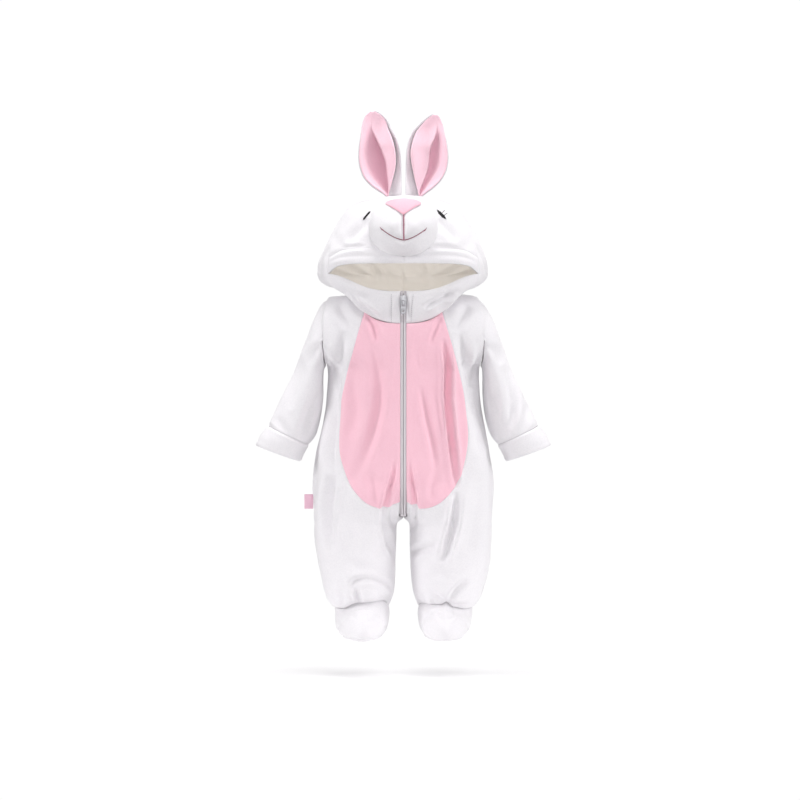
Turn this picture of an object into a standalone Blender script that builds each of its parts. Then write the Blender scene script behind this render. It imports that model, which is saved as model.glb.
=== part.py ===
"""A baby's hooded rabbit sleepsuit with feet, hollow and filled out as when worn.

The suit faces -Y, its left-hand pieces as seen from the front lie at negative X, and Z is up.
The origin is the middle of the shoulders. Sizes are in millimetres and turned to metres at the end.
Each cloth piece is a sheet of points on the suit's outer form, given its own thickness inwards.
"""

import math
from typing import NamedTuple

import bpy
import numpy as np

METRES = 0.001
FLEECE = 2.4
LINING = 1.4
SEAM_GAP = 0.3
LIFT = 0.35
ZIP_HALF = 4.8
FULLNESS = 0.07
HALVINGS = 24


class Level(NamedTuple):
    """One level of the body and legs, shoulder to ankle."""

    side_z: float
    middle_z: float
    half_width: float
    arm_depth: float
    front: float
    back: float
    split: float
    gap: float


BODY = (
    Level(0.4, 13.0, 117.2, -22.0, -34.0, -30.0, 0.0, 0.0),
    Level(7.0, 23.0, 114.0, 0.0, 0.0, 0.0, 0.0, 0.0),
    Level(0.4, 13.0, 117.2, 22.0, 30.0, 34.0, 0.0, 0.0),
    Level(-17.8, -8.0, 119.9, 38.1, 50.0, 53.0, 0.0, 0.0),
    Level(-42.5, -36.0, 121.0, 44.0, 61.0, 63.0, 0.0, 0.0),
    Level(-67.3, -64.0, 120.6, 38.1, 67.0, 68.0, 0.0, 0.0),
    Level(-85.4, -84.0, 118.3, 22.0, 70.0, 70.0, 0.0, 0.0),
    Level(-92.0, -98.0, 115.5, 0.0, 71.5, 70.5, 0.0, 0.0),
    Level(-112.0, -116.0, 113.6, 0.0, 73.0, 70.0, 0.0, 0.0),
    Level(-140.0, -142.0, 115.0, 0.0, 74.5, 70.0, 0.0, 0.0),
    Level(-166.0, -167.0, 118.0, 0.0, 75.5, 71.0, 0.0, 0.0),
    Level(-196.0, -196.0, 124.0, 0.0, 76.0, 73.0, 0.0, 0.0),
    Level(-220.0, -220.0, 129.5, 0.0, 76.0, 75.0, 0.0, 0.0),
    Level(-244.0, -244.0, 133.5, 0.0, 75.0, 76.0, 0.0, 0.0),
    Level(-263.0, -263.0, 135.0, 0.0, 73.5, 76.0, 0.0, 0.0),
    Level(-278.0, -278.0, 135.3, 0.0, 71.5, 75.0, 0.25, 0.0),
    Level(-291.0, -291.0, 135.4, 0.0, 69.0, 73.0, 0.47, 0.0),
    Level(-303.0, -303.0, 135.4, 0.0, 66.0, 70.0, 0.67, 0.0),
    Level(-313.0, -313.0, 135.2, 0.0, 63.5, 67.0, 0.85, 0.0),
    Level(-322.0, -322.0, 135.0, 0.0, 61.5, 64.0, 1.0, 0.6),
    Level(-331.0, -331.0, 134.8, 0.0, 60.0, 62.0, 1.0, 6.5),
    Level(-347.0, -347.0, 134.0, 0.0, 58.5, 60.0, 1.0, 9.0),
    Level(-366.0, -366.0, 132.4, 0.0, 57.5, 58.0, 1.0, 9.0),
    Level(-388.0, -388.0, 129.6, 0.0, 57.0, 56.5, 1.0, 10.5),
    Level(-410.0, -410.0, 125.5, 0.0, 56.5, 54.5, 1.0, 12.0),
    Level(-430.0, -430.0, 121.5, 0.0, 55.5, 52.0, 1.0, 14.0),
    Level(-444.0, -444.0, 116.5, 0.0, 52.0, 48.0, 1.0, 17.5),
    Level(-452.0, -452.0, 110.5, 0.0, 47.0, 44.0, 1.0, 20.5),
    Level(-456.0, -456.0, 105.5, 0.0, 42.0, 41.0, 1.0, 21.5),
)
SHOULDER = 0.0
ARMPIT = 6.0
CROTCH = 18.0
ANKLE = 27.0
ARM_STEPS = 8
NECK_SIDE_X = -60.0
NECK_BACK_LEVEL = 1.1


class Spot(NamedTuple):
    """A spot on the front, as seen from the front."""

    x: float
    z: float


TUMMY_TOP = (
    Spot(-58.0, -10.0),
    Spot(-46.5, -18.2),
    Spot(-34.5, -23.4),
    Spot(-23.0, -26.0),
    Spot(-12.5, -27.0),
    Spot(-ZIP_HALF, -27.0),
)
TUMMY_SIDE = (
    Spot(-58.0, -10.0),
    Spot(-66.0, -36.0),
    Spot(-74.0, -65.0),
    Spot(-82.5, -96.0),
    Spot(-90.0, -128.0),
    Spot(-94.5, -160.0),
    Spot(-96.8, -192.0),
    Spot(-95.2, -221.0),
    Spot(-89.0, -247.0),
    Spot(-79.5, -269.0),
    Spot(-66.5, -286.0),
)
TUMMY_BOTTOM = (
    Spot(-66.5, -286.0),
    Spot(-54.5, -296.5),
    Spot(-40.0, -303.3),
    Spot(-27.0, -304.8),
    Spot(-14.5, -299.7),
    Spot(-ZIP_HALF, -295.5),
)
YOKE_LEVELS = (0.0, 0.75, 1.5)
SIDE_LEVELS = (2.25, 3.0, 3.75, 4.5, 5.25, 6.0, 8.0, 10.0, 11.5, 12.8, 14.0)
SEAT_LEVELS = (15.0, 16.0, 17.0)
LEG_LEVELS = (18.0, 19.0, 20.0, 22.0, 24.0, 25.0, 26.0, 27.0)
PANEL_COLUMNS = 5
BACK_NECK_COLUMNS = 3


def along(rows, place):
    """The row at a fractional place in a table, on a smooth curve through the table's rows."""
    table = np.asarray(rows, float)
    place = min(max(place, 0.0), len(table) - 1.0)
    k = min(int(place), len(table) - 2)
    t = place - k
    here, after = table[k], table[k + 1]
    before = table[k - 1] if k else 2 * here - after
    beyond = table[k + 2] if k + 2 < len(table) else 2 * after - here
    bend = (2 * before - 5 * here + 4 * after - beyond) * t * t
    twist = (3 * here - before - 3 * after + beyond) * t**3
    return 0.5 * (2 * here + (after - before) * t + bend + twist)


def body_level(level):
    """The body's sizes at a level, in a table that starts one row above the shoulder."""
    row = Level(*along(BODY, level + 1.0))
    return row._replace(split=min(max(row.split, 0.0), 1.0), gap=max(row.gap, 0.0))


def last_angle(level):
    """The angle at which a level's section reaches the middle of the suit or the inside of the leg."""
    return math.acos(-body_level(level).split)


def body_point(angle, level, facing):
    """A point of the body's left half, angle 0 at the side, facing -1 in front and 1 behind."""
    row = body_level(level)
    reach = (row.half_width - row.gap) / (1 + row.split)
    full = 1 + FULLNESS * math.sin(2 * angle) ** 2 if angle < math.pi / 2 else 1.0
    depth = row.front if facing < 0 else row.back
    share = angle / math.acos(-row.split)
    return np.array(
        (
            reach - row.half_width - reach * math.cos(angle) * full,
            facing * (row.arm_depth + (depth - row.arm_depth) * math.sin(angle)),
            row.side_z + (row.middle_z - row.side_z) * share,
        )
    )


def body_normal(angle, level, facing):
    """The direction straight out of the body at a point of its left half."""
    step = 0.01
    across = body_point(angle + step, level, facing) - body_point(angle - step, level, facing)
    down = body_point(angle, level + step, facing) - body_point(angle, level - step, facing)
    out = np.cross(down, across) * -facing
    return out / np.linalg.norm(out)


def halve(test, low, high):
    """The value between low and high at which test turns from false to true."""
    for _ in range(HALVINGS):
        middle = (low + high) / 2
        low, high = (low, middle) if test(middle) else (middle, high)
    return (low + high) / 2


def angle_at(x, level):
    """The front's angle at an x."""
    return halve(lambda a: body_point(a, level, -1)[0] > x, 0.0, last_angle(level))


def place_of(spot):
    """The angle and level of a spot on the front."""
    level = halve(
        lambda v: body_point(angle_at(spot.x, v), v, -1)[2] < spot.z, SHOULDER, ANKLE
    )
    return angle_at(spot.x, level), level


def body_patch(places, facing):
    """Points and outward directions for a grid of (angle, level) places."""
    points = np.array([[body_point(a, v, facing) for a, v in row] for row in places])
    outward = np.array([[body_normal(a, v, facing) for a, v in row] for row in places])
    return points, outward


def between(start, end, steps):
    """Evenly spaced places from start to end, both included."""
    start, end = np.asarray(start, float), np.asarray(end, float)
    return [start + (end - start) * k / steps for k in range(steps + 1)]


def filled(top, bottom, left, right):
    """A grid inside four edges that share their corners, the sides running downwards."""
    top, bottom = np.asarray(top, float), np.asarray(bottom, float)
    left, right = np.asarray(left, float), np.asarray(right, float)
    rows, columns = len(left) - 1, len(top) - 1
    grid = np.zeros((rows + 1, columns + 1, top.shape[1]))
    for i in range(rows + 1):
        for j in range(columns + 1):
            s, t = j / columns, i / rows
            corners = (
                (1 - s) * (1 - t) * top[0]
                + s * (1 - t) * top[-1]
                + (1 - s) * t * bottom[0]
                + s * t * bottom[-1]
            )
            grid[i, j] = (
                (1 - t) * top[j] + t * bottom[j] + (1 - s) * left[i] + s * right[i] - corners
            )
    return grid


def grid_normals(points, wrap=False):
    """Outward directions for a grid whose rows run down and columns run towards the front."""
    down = np.gradient(points, axis=0)
    if wrap:
        across = np.roll(points, -1, axis=1) - np.roll(points, 1, axis=1)
    else:
        across = np.gradient(points, axis=1)
    out = np.cross(down, across)
    length = np.linalg.norm(out, axis=2, keepdims=True)
    return out / np.maximum(length, 1e-9)


class Piece:
    """A closed solid gathered from grids of points, welded where they meet."""

    def __init__(self):
        self.points = []
        self.outward = []
        self.index = {}
        self.faces = []

    def corner(self, point, outward):
        """The number of the corner at a point, added if it is new."""
        key = tuple(np.round(point, 3))
        if key not in self.index:
            self.index[key] = len(self.points)
            self.points.append(np.array(point, float))
            self.outward.append(np.zeros(3))
        number = self.index[key]
        self.outward[number] = self.outward[number] + outward
        return number

    def add_grid(self, points, outward, wrap=False, turned=False):
        """Adds a grid, facing outward when its rows run down and its columns towards the front."""
        numbers = [
            [self.corner(p, n) for p, n in zip(row, ways)] for row, ways in zip(points, outward)
        ]
        rows, columns = len(numbers), len(numbers[0])
        for i in range(rows - 1):
            for j in range(columns if wrap else columns - 1):
                after = (j + 1) % columns
                here, below = numbers[i][j], numbers[i + 1][j]
                across, beyond = numbers[i][after], numbers[i + 1][after]
                for face in ([here, below, beyond], [here, beyond, across]):
                    if len(set(face)) == 3:
                        self.faces.append(face[::-1] if turned else face)

    def used_only(self):
        """Drops the corners that no face uses."""
        used = sorted({c for face in self.faces for c in face})
        number = {c: k for k, c in enumerate(used)}
        self.points = [self.points[c] for c in used]
        self.outward = [self.outward[c] for c in used]
        self.faces = [[number[c] for c in face] for face in self.faces]

    def edges_used_once(self):
        """The rim's edges, each in its face's direction."""
        seen = {}
        for face in self.faces:
            for k, corner in enumerate(face):
                seen.setdefault(frozenset((face[k - 1], corner)), []).append((face[k - 1], corner))
        return [ways[0] for ways in seen.values() if len(ways) == 1]

    def thicken(self, thickness, inset=SEAM_GAP / 2):
        """The solid's corners and faces: the sheet drawn in at its rim, and its copy further in."""
        self.used_only()
        points = np.array(self.points)
        outward = np.array(self.outward)
        outward /= np.maximum(np.linalg.norm(outward, axis=1, keepdims=True), 1e-9)
        rim = self.edges_used_once()
        pull = np.zeros_like(points)
        for a, b in rim:
            for corner in (a, b):
                way = np.cross(outward[corner], points[b] - points[a])
                pull[corner] += way / max(np.linalg.norm(way), 1e-9)
        size = np.linalg.norm(pull, axis=1, keepdims=True)
        drawn = points + pull * np.where(size > 0.2, 2 * inset / np.maximum(size, 0.2) ** 2, 0.0)
        count = len(points)
        corners = np.vstack((drawn, drawn - outward * thickness))
        faces = [list(face) for face in self.faces]
        faces += [[c + count for c in face[::-1]] for face in self.faces]
        for a, b in rim:
            if tuple(points[a].round(1)[::-1]) > tuple(points[b].round(1)[::-1]):
                faces += [[b, a, a + count], [b, a + count, b + count]]
            else:
                faces += [[b, a, b + count], [a, a + count, b + count]]
        return corners, faces


def mirrored(corners, faces):
    """The same solid on the suit's other side."""
    return corners * np.array((-1.0, 1.0, 1.0)), [face[::-1] for face in faces]


def material(name, colour, roughness, metallic=0.0):
    """A plain Principled material."""
    made = bpy.data.materials.new(name)
    made.use_nodes = True
    shader = made.node_tree.nodes["Principled BSDF"]
    shader.inputs["Base Color"].default_value = (*colour, 1.0)
    shader.inputs["Roughness"].default_value = roughness
    shader.inputs["Metallic"].default_value = metallic
    made.diffuse_color = (*colour, 1.0)
    return made


def place(name, corners, faces, finish, origin=(0.0, 0.0, 0.0), smooth=True):
    """Puts a solid in the scene under its node name, its origin at a point in millimetres."""
    mesh = bpy.data.meshes.new(name)
    start = np.asarray(origin, float)
    mesh.from_pydata(((np.asarray(corners) - start) * METRES).tolist(), [], faces)
    mesh.materials.append(finish)
    for polygon in mesh.polygons:
        polygon.use_smooth = smooth
    thing = bpy.data.objects.new(name, mesh)
    thing.location = start * METRES
    bpy.context.scene.collection.objects.link(thing)
    return thing


def place_pair(name, piece, thickness, finish):
    """A cloth piece of the suit's left half and its mirror image."""
    corners, faces = piece.thicken(thickness)
    place(f"{name}_left", corners, faces, finish)
    place(f"{name}_right", *mirrored(corners, faces), finish)


def clear_scene():
    """Empties the startup scene."""
    for thing in list(bpy.data.objects):
        bpy.data.objects.remove(thing)


def front_rows():
    """Places of the white front, shoulder to the tummy's lower corner."""
    neckline = between(neck_side(), place_of(TUMMY_SIDE[0]), len(YOKE_LEVELS))
    levels = YOKE_LEVELS + SIDE_LEVELS
    edge = neckline[:-1] + [place_of(spot) for spot in TUMMY_SIDE]
    return [between((0.0, v), end, PANEL_COLUMNS) for v, end in zip(levels, edge)]


def neck_side():
    """The place where the shoulder meets the neckline."""
    return angle_at(NECK_SIDE_X, SHOULDER), SHOULDER


def front_low_rows(above):
    """Places of the white front from the tummy's lower corner to the crotch, under the row above."""
    bottom_edge = [place_of(spot) for spot in TUMMY_BOTTOM]
    top = list(above) + bottom_edge[1:]
    zip_edge = [
        place_of(Spot(-ZIP_HALF, -303.5)),
        place_of(Spot(-ZIP_HALF, -311.5)),
        place_of(Spot(-ZIP_HALF, -319.5)),
    ]
    right = [bottom_edge[-1], *zip_edge, (last_angle(CROTCH), CROTCH)]
    left = [(0.0, v) for v in (SIDE_LEVELS[-1], *SEAT_LEVELS, CROTCH)]
    bottom = leg_row(CROTCH)
    return list(filled(top, bottom, left, right))


def leg_row(level, columns=2 * PANEL_COLUMNS):
    """Places round half a leg at a level."""
    return between((0.0, level), (last_angle(level), level), columns)


def front_piece():
    """The white front of the left half, shoulder to ankle."""
    piece = Piece()
    upper = front_rows()
    lower = front_low_rows(upper[-1])
    legs = [leg_row(v) for v in LEG_LEVELS]
    for rows in (upper, lower, legs):
        piece.add_grid(*body_patch(rows, -1))
    return piece


def tummy_piece():
    """The rose half tummy beside the zip."""
    top = [place_of(spot) for spot in TUMMY_TOP]
    side = [place_of(spot) for spot in TUMMY_SIDE]
    bottom = [place_of(spot) for spot in TUMMY_BOTTOM]
    middle_z = np.linspace(TUMMY_TOP[-1].z, TUMMY_BOTTOM[-1].z, len(side))
    middle = [place_of(Spot(-ZIP_HALF, z)) for z in middle_z]
    middle[0], middle[-1] = top[-1], bottom[-1]
    piece = Piece()
    piece.add_grid(*body_patch(filled(top, bottom, side, middle), -1))
    return piece


def back_neck_places():
    """Places along the back's neckline, from the shoulder to the middle."""
    return between(neck_side(), (math.pi / 2, NECK_BACK_LEVEL), BACK_NECK_COLUMNS)


def back_piece():
    """The back and the backs of both legs, in one piece."""
    shoulder = between((0.0, SHOULDER), neck_side(), PANEL_COLUMNS)
    top = shoulder + back_neck_places()[1:]
    middle = between((math.pi / 2, NECK_BACK_LEVEL), (math.pi / 2, 2.25), 3)
    side = between((0.0, SHOULDER), (0.0, 2.25), 3)
    columns = len(top) - 1
    bottom = between((0.0, 2.25), (math.pi / 2, 2.25), columns)
    yoke = filled(top, bottom, side, middle)
    levels = SIDE_LEVELS + SEAT_LEVELS + LEG_LEVELS
    rows = [leg_row(v, columns) for v in levels]
    piece = Piece()
    for half in (1.0, -1.0):
        for places in (yoke, rows):
            points, outward = body_patch(places, 1)
            points = points * np.array((half, 1.0, 1.0))
            middles = np.abs(points[..., 0]) < 0.05
            points[..., 0] = np.where(middles, 0.0, points[..., 0])
            piece.add_grid(points, outward * np.array((half, 1.0, 1.0)), turned=half > 0)
    return piece


class SleeveRing(NamedTuple):
    """A ring of the sleeve, between its outer and inner edges as seen from the front."""

    outer_x: float
    outer_z: float
    inner_x: float
    inner_z: float
    half_depth: float
    middle_y: float


SLEEVE = (
    SleeveRing(-125.0, -5.0, -119.5, -100.0, 43.0, 0.0),
    SleeveRing(-137.5, -28.0, -120.8, -117.0, 42.2, -0.7),
    SleeveRing(-150.0, -64.0, -121.3, -140.0, 40.0, -2.0),
    SleeveRing(-164.5, -100.0, -123.2, -161.0, 38.0, -3.7),
    SleeveRing(-180.0, -134.0, -127.5, -182.0, 36.5, -5.5),
    SleeveRing(-193.5, -162.0, -133.0, -198.0, 35.0, -7.0),
    SleeveRing(-203.0, -182.0, -142.5, -211.0, 34.0, -8.0),
)
CUFF = (
    SleeveRing(-203.6, -182.5, -142.7, -211.6, 34.8, -8.0),
    SleeveRing(-215.5, -196.5, -149.0, -224.0, 34.6, -8.8),
    SleeveRing(-223.0, -211.0, -156.0, -234.0, 32.0, -9.6),
)


def ring_points(ring, columns):
    """Points round a sleeve ring, from the outer edge by the front to the inner edge and back behind."""
    outer = np.array((ring.outer_x, ring.middle_y, ring.outer_z))
    inner = np.array((ring.inner_x, ring.middle_y, ring.inner_z))
    middle = (outer + inner) / 2
    forward = np.array((0.0, -ring.half_depth, 0.0))
    turns = [2 * math.pi * k / columns for k in range(columns)]
    return np.array([middle + (outer - middle) * math.cos(t) + forward * math.sin(t) for t in turns])


def armhole_points():
    """Points round the armhole, lifted off the body, in the order of the sleeve's rings."""
    levels = np.linspace(SHOULDER, ARMPIT, ARM_STEPS + 1)
    front = [body_point(0.0, v, -1) + LIFT * body_normal(0.0, v, -1) for v in levels]
    back = [body_point(0.0, v, 1) + LIFT * body_normal(0.0, v, 1) for v in levels[-2:0:-1]]
    return np.array(front + back)


def sleeve_piece():
    """The left sleeve, armhole to cuff."""
    columns = 2 * ARM_STEPS
    points = np.array([armhole_points()] + [ring_points(ring, columns) for ring in SLEEVE])
    piece = Piece()
    piece.add_grid(points, grid_normals(points, wrap=True), wrap=True)
    return piece


def cuff_piece():
    """The left sleeve's turned cuff."""
    points = np.array([ring_points(ring, 2 * ARM_STEPS) for ring in CUFF])
    piece = Piece()
    piece.add_grid(points, grid_normals(points, wrap=True), wrap=True)
    return piece


class FootRing(NamedTuple):
    """A level ring of the foot."""

    z: float
    middle_x: float
    half_width: float
    toe: float
    heel: float


FOOT = (
    FootRing(-456.3, -63.5, 41.5, 41.5, 40.5),
    FootRing(-463.0, -62.8, 41.6, 53.0, 43.0),
    FootRing(-471.0, -62.2, 41.2, 66.0, 44.5),
    FootRing(-480.0, -61.8, 40.4, 75.0, 45.0),
    FootRing(-488.0, -61.5, 38.5, 78.0, 44.0),
    FootRing(-495.0, -61.2, 35.8, 76.5, 42.0),
    FootRing(-500.0, -61.0, 32.5, 72.0, 38.5),
)
FOOT_COLUMNS = 16
TOE_COLUMN = 8
FOOT_ROWS = 3
LAST_FOOT_RING = 6.0
TOE_SEAM = (1.0, 1.3, 2.3, 4.0, LAST_FOOT_RING)


def foot_point(column, level):
    """A point of the left foot, column 0 at the heel and the next ones round by the outer side."""
    ring = FootRing(*along(FOOT, level))
    turn = 2 * math.pi * column / FOOT_COLUMNS
    reach = ring.heel if math.cos(turn) > 0 else ring.toe
    return (ring.middle_x - ring.half_width * math.sin(turn), reach * math.cos(turn), ring.z)


def foot_normal(column, level):
    """The direction straight out of the foot at a point."""
    step = 0.02
    down = np.subtract(foot_point(column, level + step), foot_point(column, level - step))
    across = np.subtract(foot_point(column + step, level), foot_point(column - step, level))
    out = np.cross(down, across)
    return out / np.linalg.norm(out)


def toe_seam(column):
    """The ring that the toe cap's seam reaches at a column."""
    from_toe = abs(column - TOE_COLUMN)
    return TOE_SEAM[from_toe] if from_toe < len(TOE_SEAM) else LAST_FOOT_RING


def foot_grid(columns, start, end):
    """Points and outward directions of part of the foot, from each column's start to its end ring."""
    places = [
        [(c, start(c) + (end(c) - start(c)) * k / FOOT_ROWS) for c in columns]
        for k in range(FOOT_ROWS + 1)
    ]
    points = np.array([[foot_point(*place) for place in row] for row in places])
    return points, np.array([[foot_normal(*place) for place in row] for row in places])


def foot_piece():
    """The left foot's upper, round the heel and over the instep."""
    piece = Piece()
    piece.add_grid(*foot_grid(range(FOOT_COLUMNS), lambda c: 0.0, toe_seam), wrap=True)
    return piece


def toe_cap_piece():
    """The left foot's toe cap."""
    reach = len(TOE_SEAM) - 1
    columns = range(TOE_COLUMN - reach, TOE_COLUMN + reach + 1)
    piece = Piece()
    piece.add_grid(*foot_grid(columns, toe_seam, lambda c: LAST_FOOT_RING))
    return piece


SOLE_DROP = 4.0
SOLE_RINGS = (1.0, 0.7)


def sole_piece():
    """The left foot's sole, a shallow dish under the foot's lowest ring."""
    ring = np.array([foot_point(c, LAST_FOOT_RING) for c in range(FOOT_COLUMNS)])
    middle = ring.mean(axis=0)
    under = LIFT + FLEECE
    rows = [
        middle + (ring - middle) * share - np.array((0.0, 0.0, under + SOLE_DROP * (1 - share**3)))
        for share in SOLE_RINGS
    ]
    tip = np.tile(middle - np.array((0.0, 0.0, under + SOLE_DROP)), (FOOT_COLUMNS, 1))
    points = np.array([*rows, tip])
    outward = grid_normals(points, wrap=True)
    outward[-1] = (0.0, 0.0, -1.0)
    piece = Piece()
    piece.add_grid(points, outward, wrap=True)
    return piece


class HoodRing(NamedTuple):
    """A level ring of the hood, crown to face opening."""

    z: float
    half_width: float
    front_y: float
    back_y: float


HOOD = (
    HoodRing(163.5, 0.0, -8.0, -8.0),
    HoodRing(160.5, 37.0, -43.0, 27.0),
    HoodRing(152.5, 69.0, -59.0, 50.0),
    HoodRing(140.0, 86.5, -71.0, 67.0),
    HoodRing(120.0, 99.5, -82.0, 81.0),
    HoodRing(98.0, 112.0, -89.5, 90.0),
    HoodRing(78.0, 121.0, -94.5, 95.0),
    HoodRing(63.0, 126.0, -97.0, 96.0),
    HoodRing(47.0, 127.0, -97.0, 94.0),
)
RIM_RING = 8.0
FACE_TURNS = (0.0, 13.0, 26.0, 39.0, 52.0, 64.0)
FACE_EDGE_Z = (63.0, 63.0, 62.7, 61.8, 58.0, 47.0)
SIDE_TURNS = (84.0, 103.0, 122.0, 141.0, 160.0, 180.0)
HOOD_ROWS = (0.0, 0.13, 0.27, 0.42, 0.6, 0.8, 0.9, 1.0)
BRIM_ROW = 5
CORNER_COLUMN = 5
BRIM_ROLL = 0.9


class CollarColumn(NamedTuple):
    """A line down the hood's lower part: its rim point, and how it leaves the rim and the neckline."""

    neck_place: float
    rim_x: float
    rim_y: float
    rim_z: float
    rim_forward: float
    rim_drop: float
    neck_out_x: float
    neck_out_y: float
    neck_rise: float


COLLAR = (
    CollarColumn(0.0, -4.8, -66.0, 21.0, -1.0, -15.0, 0.0, -2.0, 16.0),
    CollarColumn(1.0, -20.0, -67.0, 21.2, -1.5, -15.0, -3.0, -4.0, 14.0),
    CollarColumn(2.0, -36.0, -68.0, 22.6, -2.0, -15.0, -7.0, -6.0, 11.0),
    CollarColumn(3.0, -52.0, -68.0, 26.0, -3.0, -15.0, -10.0, -9.0, 8.0),
    CollarColumn(4.0, -68.0, -65.5, 31.8, -3.0, -16.0, -13.0, -11.0, 5.5),
    CollarColumn(5.0, -84.0, -60.0, 39.0, -3.0, -18.0, -17.0, -12.0, 4.0),
    CollarColumn(6.0, -99.5, -52.5, 44.5, -3.0, -21.0, -23.0, -11.0, 2.5),
    CollarColumn(7.0, 0.0, 0.0, 0.0, -2.0, -23.0, -28.0, -8.0, 1.5),
    CollarColumn(8.0, 0.0, 0.0, 0.0, 0.0, -24.0, -31.0, 0.0, 1.5),
    CollarColumn(8.5, 0.0, 0.0, 0.0, 1.0, -23.0, -28.0, 9.0, 2.0),
    CollarColumn(9.0, 0.0, 0.0, 0.0, 2.0, -22.0, -22.0, 18.0, 2.5),
    CollarColumn(9.5, 0.0, 0.0, 0.0, 2.0, -22.0, -15.0, 23.0, 3.0),
    CollarColumn(10.0, 0.0, 0.0, 0.0, 2.0, -22.0, -9.0, 27.0, 3.5),
    CollarColumn(11.0, 0.0, 0.0, 0.0, 2.0, -22.0, 0.0, 29.0, 4.0),
)
COLLAR_ROWS = (0.0, 0.33, 0.66, 1.0)


def hood_point(turn, level):
    """A point of the hood's left half. Turn 0 is the front and 180 the back."""
    ring = HoodRing(*along(HOOD, level))
    middle, reach = (ring.front_y + ring.back_y) / 2, (ring.back_y - ring.front_y) / 2
    round_by = math.radians(turn)
    return np.array(
        (-ring.half_width * math.sin(round_by), middle - reach * math.cos(round_by), ring.z)
    )


def hood_level(z):
    """The level at which the hood's rings reach a height."""
    return halve(lambda s: HoodRing(*along(HOOD, s)).z < z, 0.0, RIM_RING)


def straightened(points, outward):
    """Outward directions with those in the suit's middle turned to lie in it."""
    outward = outward.copy()
    outward[np.abs(points[..., 0]) < 0.2, 0] = 0.0
    return outward / np.maximum(np.linalg.norm(outward, axis=-1, keepdims=True), 1e-9)


def crown_grid():
    """Points of the hood above the face opening and round the back, from the crown down."""
    turns = FACE_TURNS + SIDE_TURNS
    ends = [hood_level(z) for z in FACE_EDGE_Z] + [RIM_RING] * len(SIDE_TURNS)
    points = np.array(
        [[hood_point(t, share * end) for t, end in zip(turns, ends)] for share in HOOD_ROWS]
    )
    outward = -grid_normals(points)
    outward[0] = (0.0, 0.0, 1.0)
    return points, straightened(points, outward)


def neck_points():
    """The neckline's corners from the zip round to the middle of the back, lifted off the body."""
    front = [place_of(spot) for spot in TUMMY_TOP[::-1]]
    side = between(front[-1], neck_side(), len(YOKE_LEVELS))[1:]
    ring = [body_point(*p, -1) + LIFT * body_normal(*p, -1) for p in front + side]
    ring += [body_point(*p, 1) + LIFT * body_normal(*p, 1) for p in back_neck_places()[1:]]
    ring[-1][0] = 0.0
    return np.array(ring)


def neck_point(ring, place_along):
    """A point on the straight lines between the neckline's corners."""
    k = min(int(place_along), len(ring) - 2)
    return ring[k] + (ring[k + 1] - ring[k]) * (place_along - k)


def collar_curve(rim, drop, rise, neck, share):
    """A point on the curve from the rim to the neckline."""
    weights = ((1 - share) ** 3, 3 * share * (1 - share) ** 2, 3 * share**2 * (1 - share), share**3)
    return sum(w * p for w, p in zip(weights, (rim, rim + drop, neck + rise, neck)))


def collar_grid(rim_row):
    """Points of the hood's lower part, from the face opening or the widest ring to the neckline."""
    ring = neck_points()
    wide = list(rim_row[CORNER_COLUMN:])
    columns = []
    for number, line in enumerate(COLLAR):
        at_side = number - (len(COLLAR) - len(wide))
        rim = wide[at_side] if at_side >= 0 else np.array((line.rim_x, line.rim_y, line.rim_z))
        drop = np.array((0.0, line.rim_forward, line.rim_drop))
        rise = np.array((line.neck_out_x, line.neck_out_y, line.neck_rise))
        neck = neck_point(ring, line.neck_place)
        columns.append([collar_curve(rim, drop, rise, neck, share) for share in COLLAR_ROWS])
    points = np.array(columns).transpose(1, 0, 2)
    return points, straightened(points, -grid_normals(points))


def hood_grids():
    """The hood's upper and lower grids, with one outward direction where they meet."""
    crown, crown_out = crown_grid()
    collar, collar_out = collar_grid(crown[-1])
    first = len(COLLAR) - (crown.shape[1] - CORNER_COLUMN)
    shared = crown_out[-1, CORNER_COLUMN:] + collar_out[0, first:]
    shared /= np.linalg.norm(shared, axis=-1, keepdims=True)
    crown_out[-1, CORNER_COLUMN:] = shared
    collar_out[0, first:] = shared
    return crown, crown_out, collar, collar_out


def moved_out(grids, distance):
    """Grids of points moved along their outward directions."""
    crown, crown_out, collar, collar_out = grids
    return (
        crown + crown_out * distance,
        crown_out,
        collar + collar_out * distance,
        collar_out,
    )


def hood_piece(grids):
    """The hood's left half."""
    crown, crown_out, collar, collar_out = grids
    piece = Piece()
    above, beside = slice(0, BRIM_ROW + 1), slice(BRIM_ROW, None)
    piece.add_grid(crown[above], crown_out[above], turned=True)
    sides = (beside, slice(CORNER_COLUMN, None))
    piece.add_grid(crown[sides], crown_out[sides], turned=True)
    piece.add_grid(collar, collar_out, turned=True)
    return piece


def lining_piece(grids):
    """The left half of the hood's lining, just inside the hood and its brim, up to the zip's tape."""
    crown, crown_out, collar, collar_out = moved_out(grids, -FLEECE - SEAM_GAP)
    piece = Piece()
    piece.add_grid(crown, crown_out, turned=True)
    piece.add_grid(collar[:, 1:], collar_out[:, 1:], turned=True)
    return piece


def brim_piece(grids):
    """The left half of the brim's band, a little rolled out along its middle."""
    rows, columns = slice(BRIM_ROW, None), slice(0, CORNER_COLUMN + 1)
    points, outward = grids[0][rows, columns].copy(), grids[1][rows, columns]
    for column in range(CORNER_COLUMN):
        points[1, column] += outward[1, column] * BRIM_ROLL * (1 - (column / CORNER_COLUMN) ** 2)
    piece = Piece()
    piece.add_grid(points, outward, turned=True)
    return piece


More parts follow.
